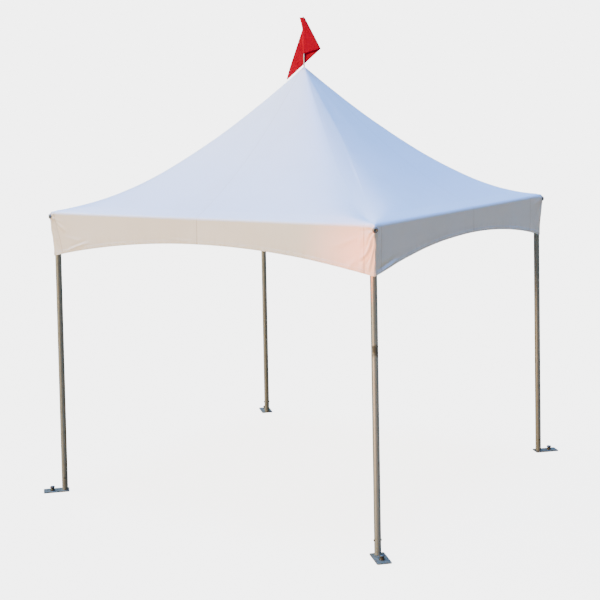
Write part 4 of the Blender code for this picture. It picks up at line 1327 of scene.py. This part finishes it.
class TENT_OT_stage(TentOperator, Operator):
    """Set the floor, the studio light and the camera"""

    bl_idname = "tent.stage"
    bl_label = "Stage"

    def execute(self, context):
        settings = context.scene.tent_stage
        self.set_floor(settings)
        self.set_lights(context.scene, settings)
        self.set_camera(context.scene, settings)
        return {"FINISHED"}

    def set_floor(self, settings):
        work = bmesh.new()
        bmesh.ops.create_circle(work, cap_ends=True, segments=96, radius=60.0)
        mesh = bpy.data.meshes.new("floor")
        work.to_mesh(mesh)
        work.free()
        finish = Finish("pale_floor")
        soft = finish.noise(finish.place(), 0.8, 3.0, 0.5)
        colour = finish.mix(soft, [c * 0.985 for c in settings.floor_colour],
                            [min(c * 1.015, 1.0) for c in settings.floor_colour])
        finish.shade(Base_Color=colour, Roughness=0.85, Specular_IOR_Level=0.0)
        glow = finish.node("Emission", None, {"Color": (1.0, 1.0, 1.0), "Strength": settings.floor_glow})
        seen = finish.node("LightPath", output="Is Camera Ray")
        lit = Value(finish, finish.shader.outputs[0])
        both = finish.node("AddShader", None, {0: lit, 1: glow})
        chosen = finish.node("MixShader", None, {0: seen, 1: lit, 2: both})
        finish.tree.links.new(chosen.socket, finish.tree.nodes["Material Output"].inputs["Surface"])
        mesh.materials.append(finish.material)
        floor = bpy.data.objects.new("floor", mesh)
        bpy.context.scene.collection.objects.link(floor)

    def set_lights(self, scene, settings):
        world = bpy.data.worlds.new("studio")
        world.use_nodes = True
        nodes, links = world.node_tree.nodes, world.node_tree.links
        seen = nodes["Background"]
        seen.inputs["Color"].default_value = (1.0, 1.0, 1.0, 1.0)
        seen.inputs["Strength"].default_value = settings.floor_glow + 0.6
        around = nodes.new("ShaderNodeBackground")
        around.inputs["Color"].default_value = (0.94, 0.94, 0.86, 1.0)
        around.inputs["Strength"].default_value = settings.around_strength
        ray = nodes.new("ShaderNodeLightPath")
        chosen = nodes.new("ShaderNodeMixShader")
        links.new(ray.outputs["Is Camera Ray"], chosen.inputs["Fac"])
        links.new(around.outputs["Background"], chosen.inputs[1])
        links.new(seen.outputs["Background"], chosen.inputs[2])
        links.new(chosen.outputs["Shader"], nodes["World Output"].inputs["Surface"])
        scene.world = world
        for name, strength, colour, aim, angle in (
                ("key", settings.key_strength, (1.0, 0.650, 0.333), (-0.45, -1.00, 0.27), 12.0),
                ("side", settings.side_strength, (0.63, 0.84, 1.0), (-0.75, -0.15, 0.64), 30.0),
                ("top", settings.top_strength, (0.116, 0.350, 1.0), (0.0, 0.0, 1.0), 22.0)):
            lamp = bpy.data.lights.new(name, "SUN")
            lamp.energy = strength
            lamp.color = colour
            lamp.angle = math.radians(angle)
            item = bpy.data.objects.new(name, lamp)
            item.rotation_euler = Vector(aim).to_track_quat("Z", "Y").to_euler()
            scene.collection.objects.link(item)

        # Two narrow warm lamps: one on the front corner's flap, one along the front leg.
        for name, power, colour, cone, place, target in (
                ("corner_lamp", settings.corner_power, (1.0, 0.10, 0.0), 6.5, (-1.6, -6.6, 1.95), (1.46, -1.5, 2.19)),
                ("leg_lamp", settings.leg_power, (1.0, 0.46, 0.26), 17.0, (0.40, -7.0, 1.2), (1.52, -1.52, 0.92))):
            lamp = bpy.data.lights.new(name, "SPOT")
            lamp.energy = power
            lamp.color = colour
            lamp.spot_size = math.radians(cone)
            lamp.spot_blend = 1.0
            lamp.shadow_soft_size = 0.25
            item = bpy.data.objects.new(name, lamp)
            item.location = place
            item.rotation_euler = (Vector(target) - item.location).to_track_quat("-Z", "Y").to_euler()
            scene.collection.objects.link(item)

    def set_camera(self, scene, settings):
        yaw, pitch, roll = settings.camera_yaw, settings.camera_pitch, settings.camera_roll
        ahead = Vector((math.sin(yaw) * math.cos(pitch), math.cos(yaw) * math.cos(pitch), math.sin(pitch)))
        right = Vector((math.cos(yaw), -math.sin(yaw), 0.0))
        above = right.cross(ahead)
        side = right * math.cos(roll) + above * math.sin(roll)
        head = above * math.cos(roll) - right * math.sin(roll)
        view = bpy.data.cameras.new("camera")
        view.sensor_width = 36.0
        view.lens = settings.focal_pixels * 36.0 / 600.0
        view.clip_end = 200.0
        camera = bpy.data.objects.new("camera", view)
        camera.matrix_world = Matrix.Translation(settings.camera_place) @ Matrix(
            (side, head, -ahead)).transposed().to_4x4()
        scene.collection.objects.link(camera)
        scene.camera = camera


# ---------------------------------------------------------------- panel and registration

BUILD_ORDER = (
    TENT_OT_canopy, TENT_OT_pennant, TENT_OT_tubes, TENT_OT_corner_bolts, TENT_OT_stakes,
    TENT_OT_foot_bolts, TENT_OT_brace_cables, TENT_OT_frame_finishes, TENT_OT_stage,
)


class TENT_PT_build(Panel):
    """Lists the tent's operators and settings"""

    bl_label = "Marquee tent"
    bl_idname = "TENT_PT_build"
    bl_space_type = "VIEW_3D"
    bl_region_type = "UI"
    bl_category = "Tent"

    def draw(self, context):
        column = self.layout.column()
        for operator in BUILD_ORDER:
            column.operator(operator.bl_idname)
        for group in (context.scene.tent_cloth, context.scene.tent_finish, context.scene.tent_stage):
            box = self.layout.box()
            for name in group.__annotations__:
                box.prop(group, name)


SETTINGS = {
    "tent_cloth": TentClothSettings, "tent_finish": TentFinishSettings, "tent_stage": TentStageSettings,
}


def register():
    for group in SETTINGS.values():
        bpy.utils.register_class(group)
    for name, group in SETTINGS.items():
        setattr(bpy.types.Scene, name, PointerProperty(type=group))
    for operator in BUILD_ORDER:
        bpy.utils.register_class(operator)
    bpy.utils.register_class(TENT_PT_build)


def unregister():
    bpy.utils.unregister_class(TENT_PT_build)
    for operator in reversed(BUILD_ORDER):
        bpy.utils.unregister_class(operator)
    for name, group in SETTINGS.items():
        delattr(bpy.types.Scene, name)
        bpy.utils.unregister_class(group)


def plain(bounds):
    """Bounds as plain lists of numbers."""
    return [[float(number) for number in corner] for corner in bounds]


def main():
    register()
    for operator in BUILD_ORDER:
        group, name = operator.bl_idname.split(".")
        getattr(getattr(bpy.ops, group), name)()


if __name__ == "__main__":
    main()
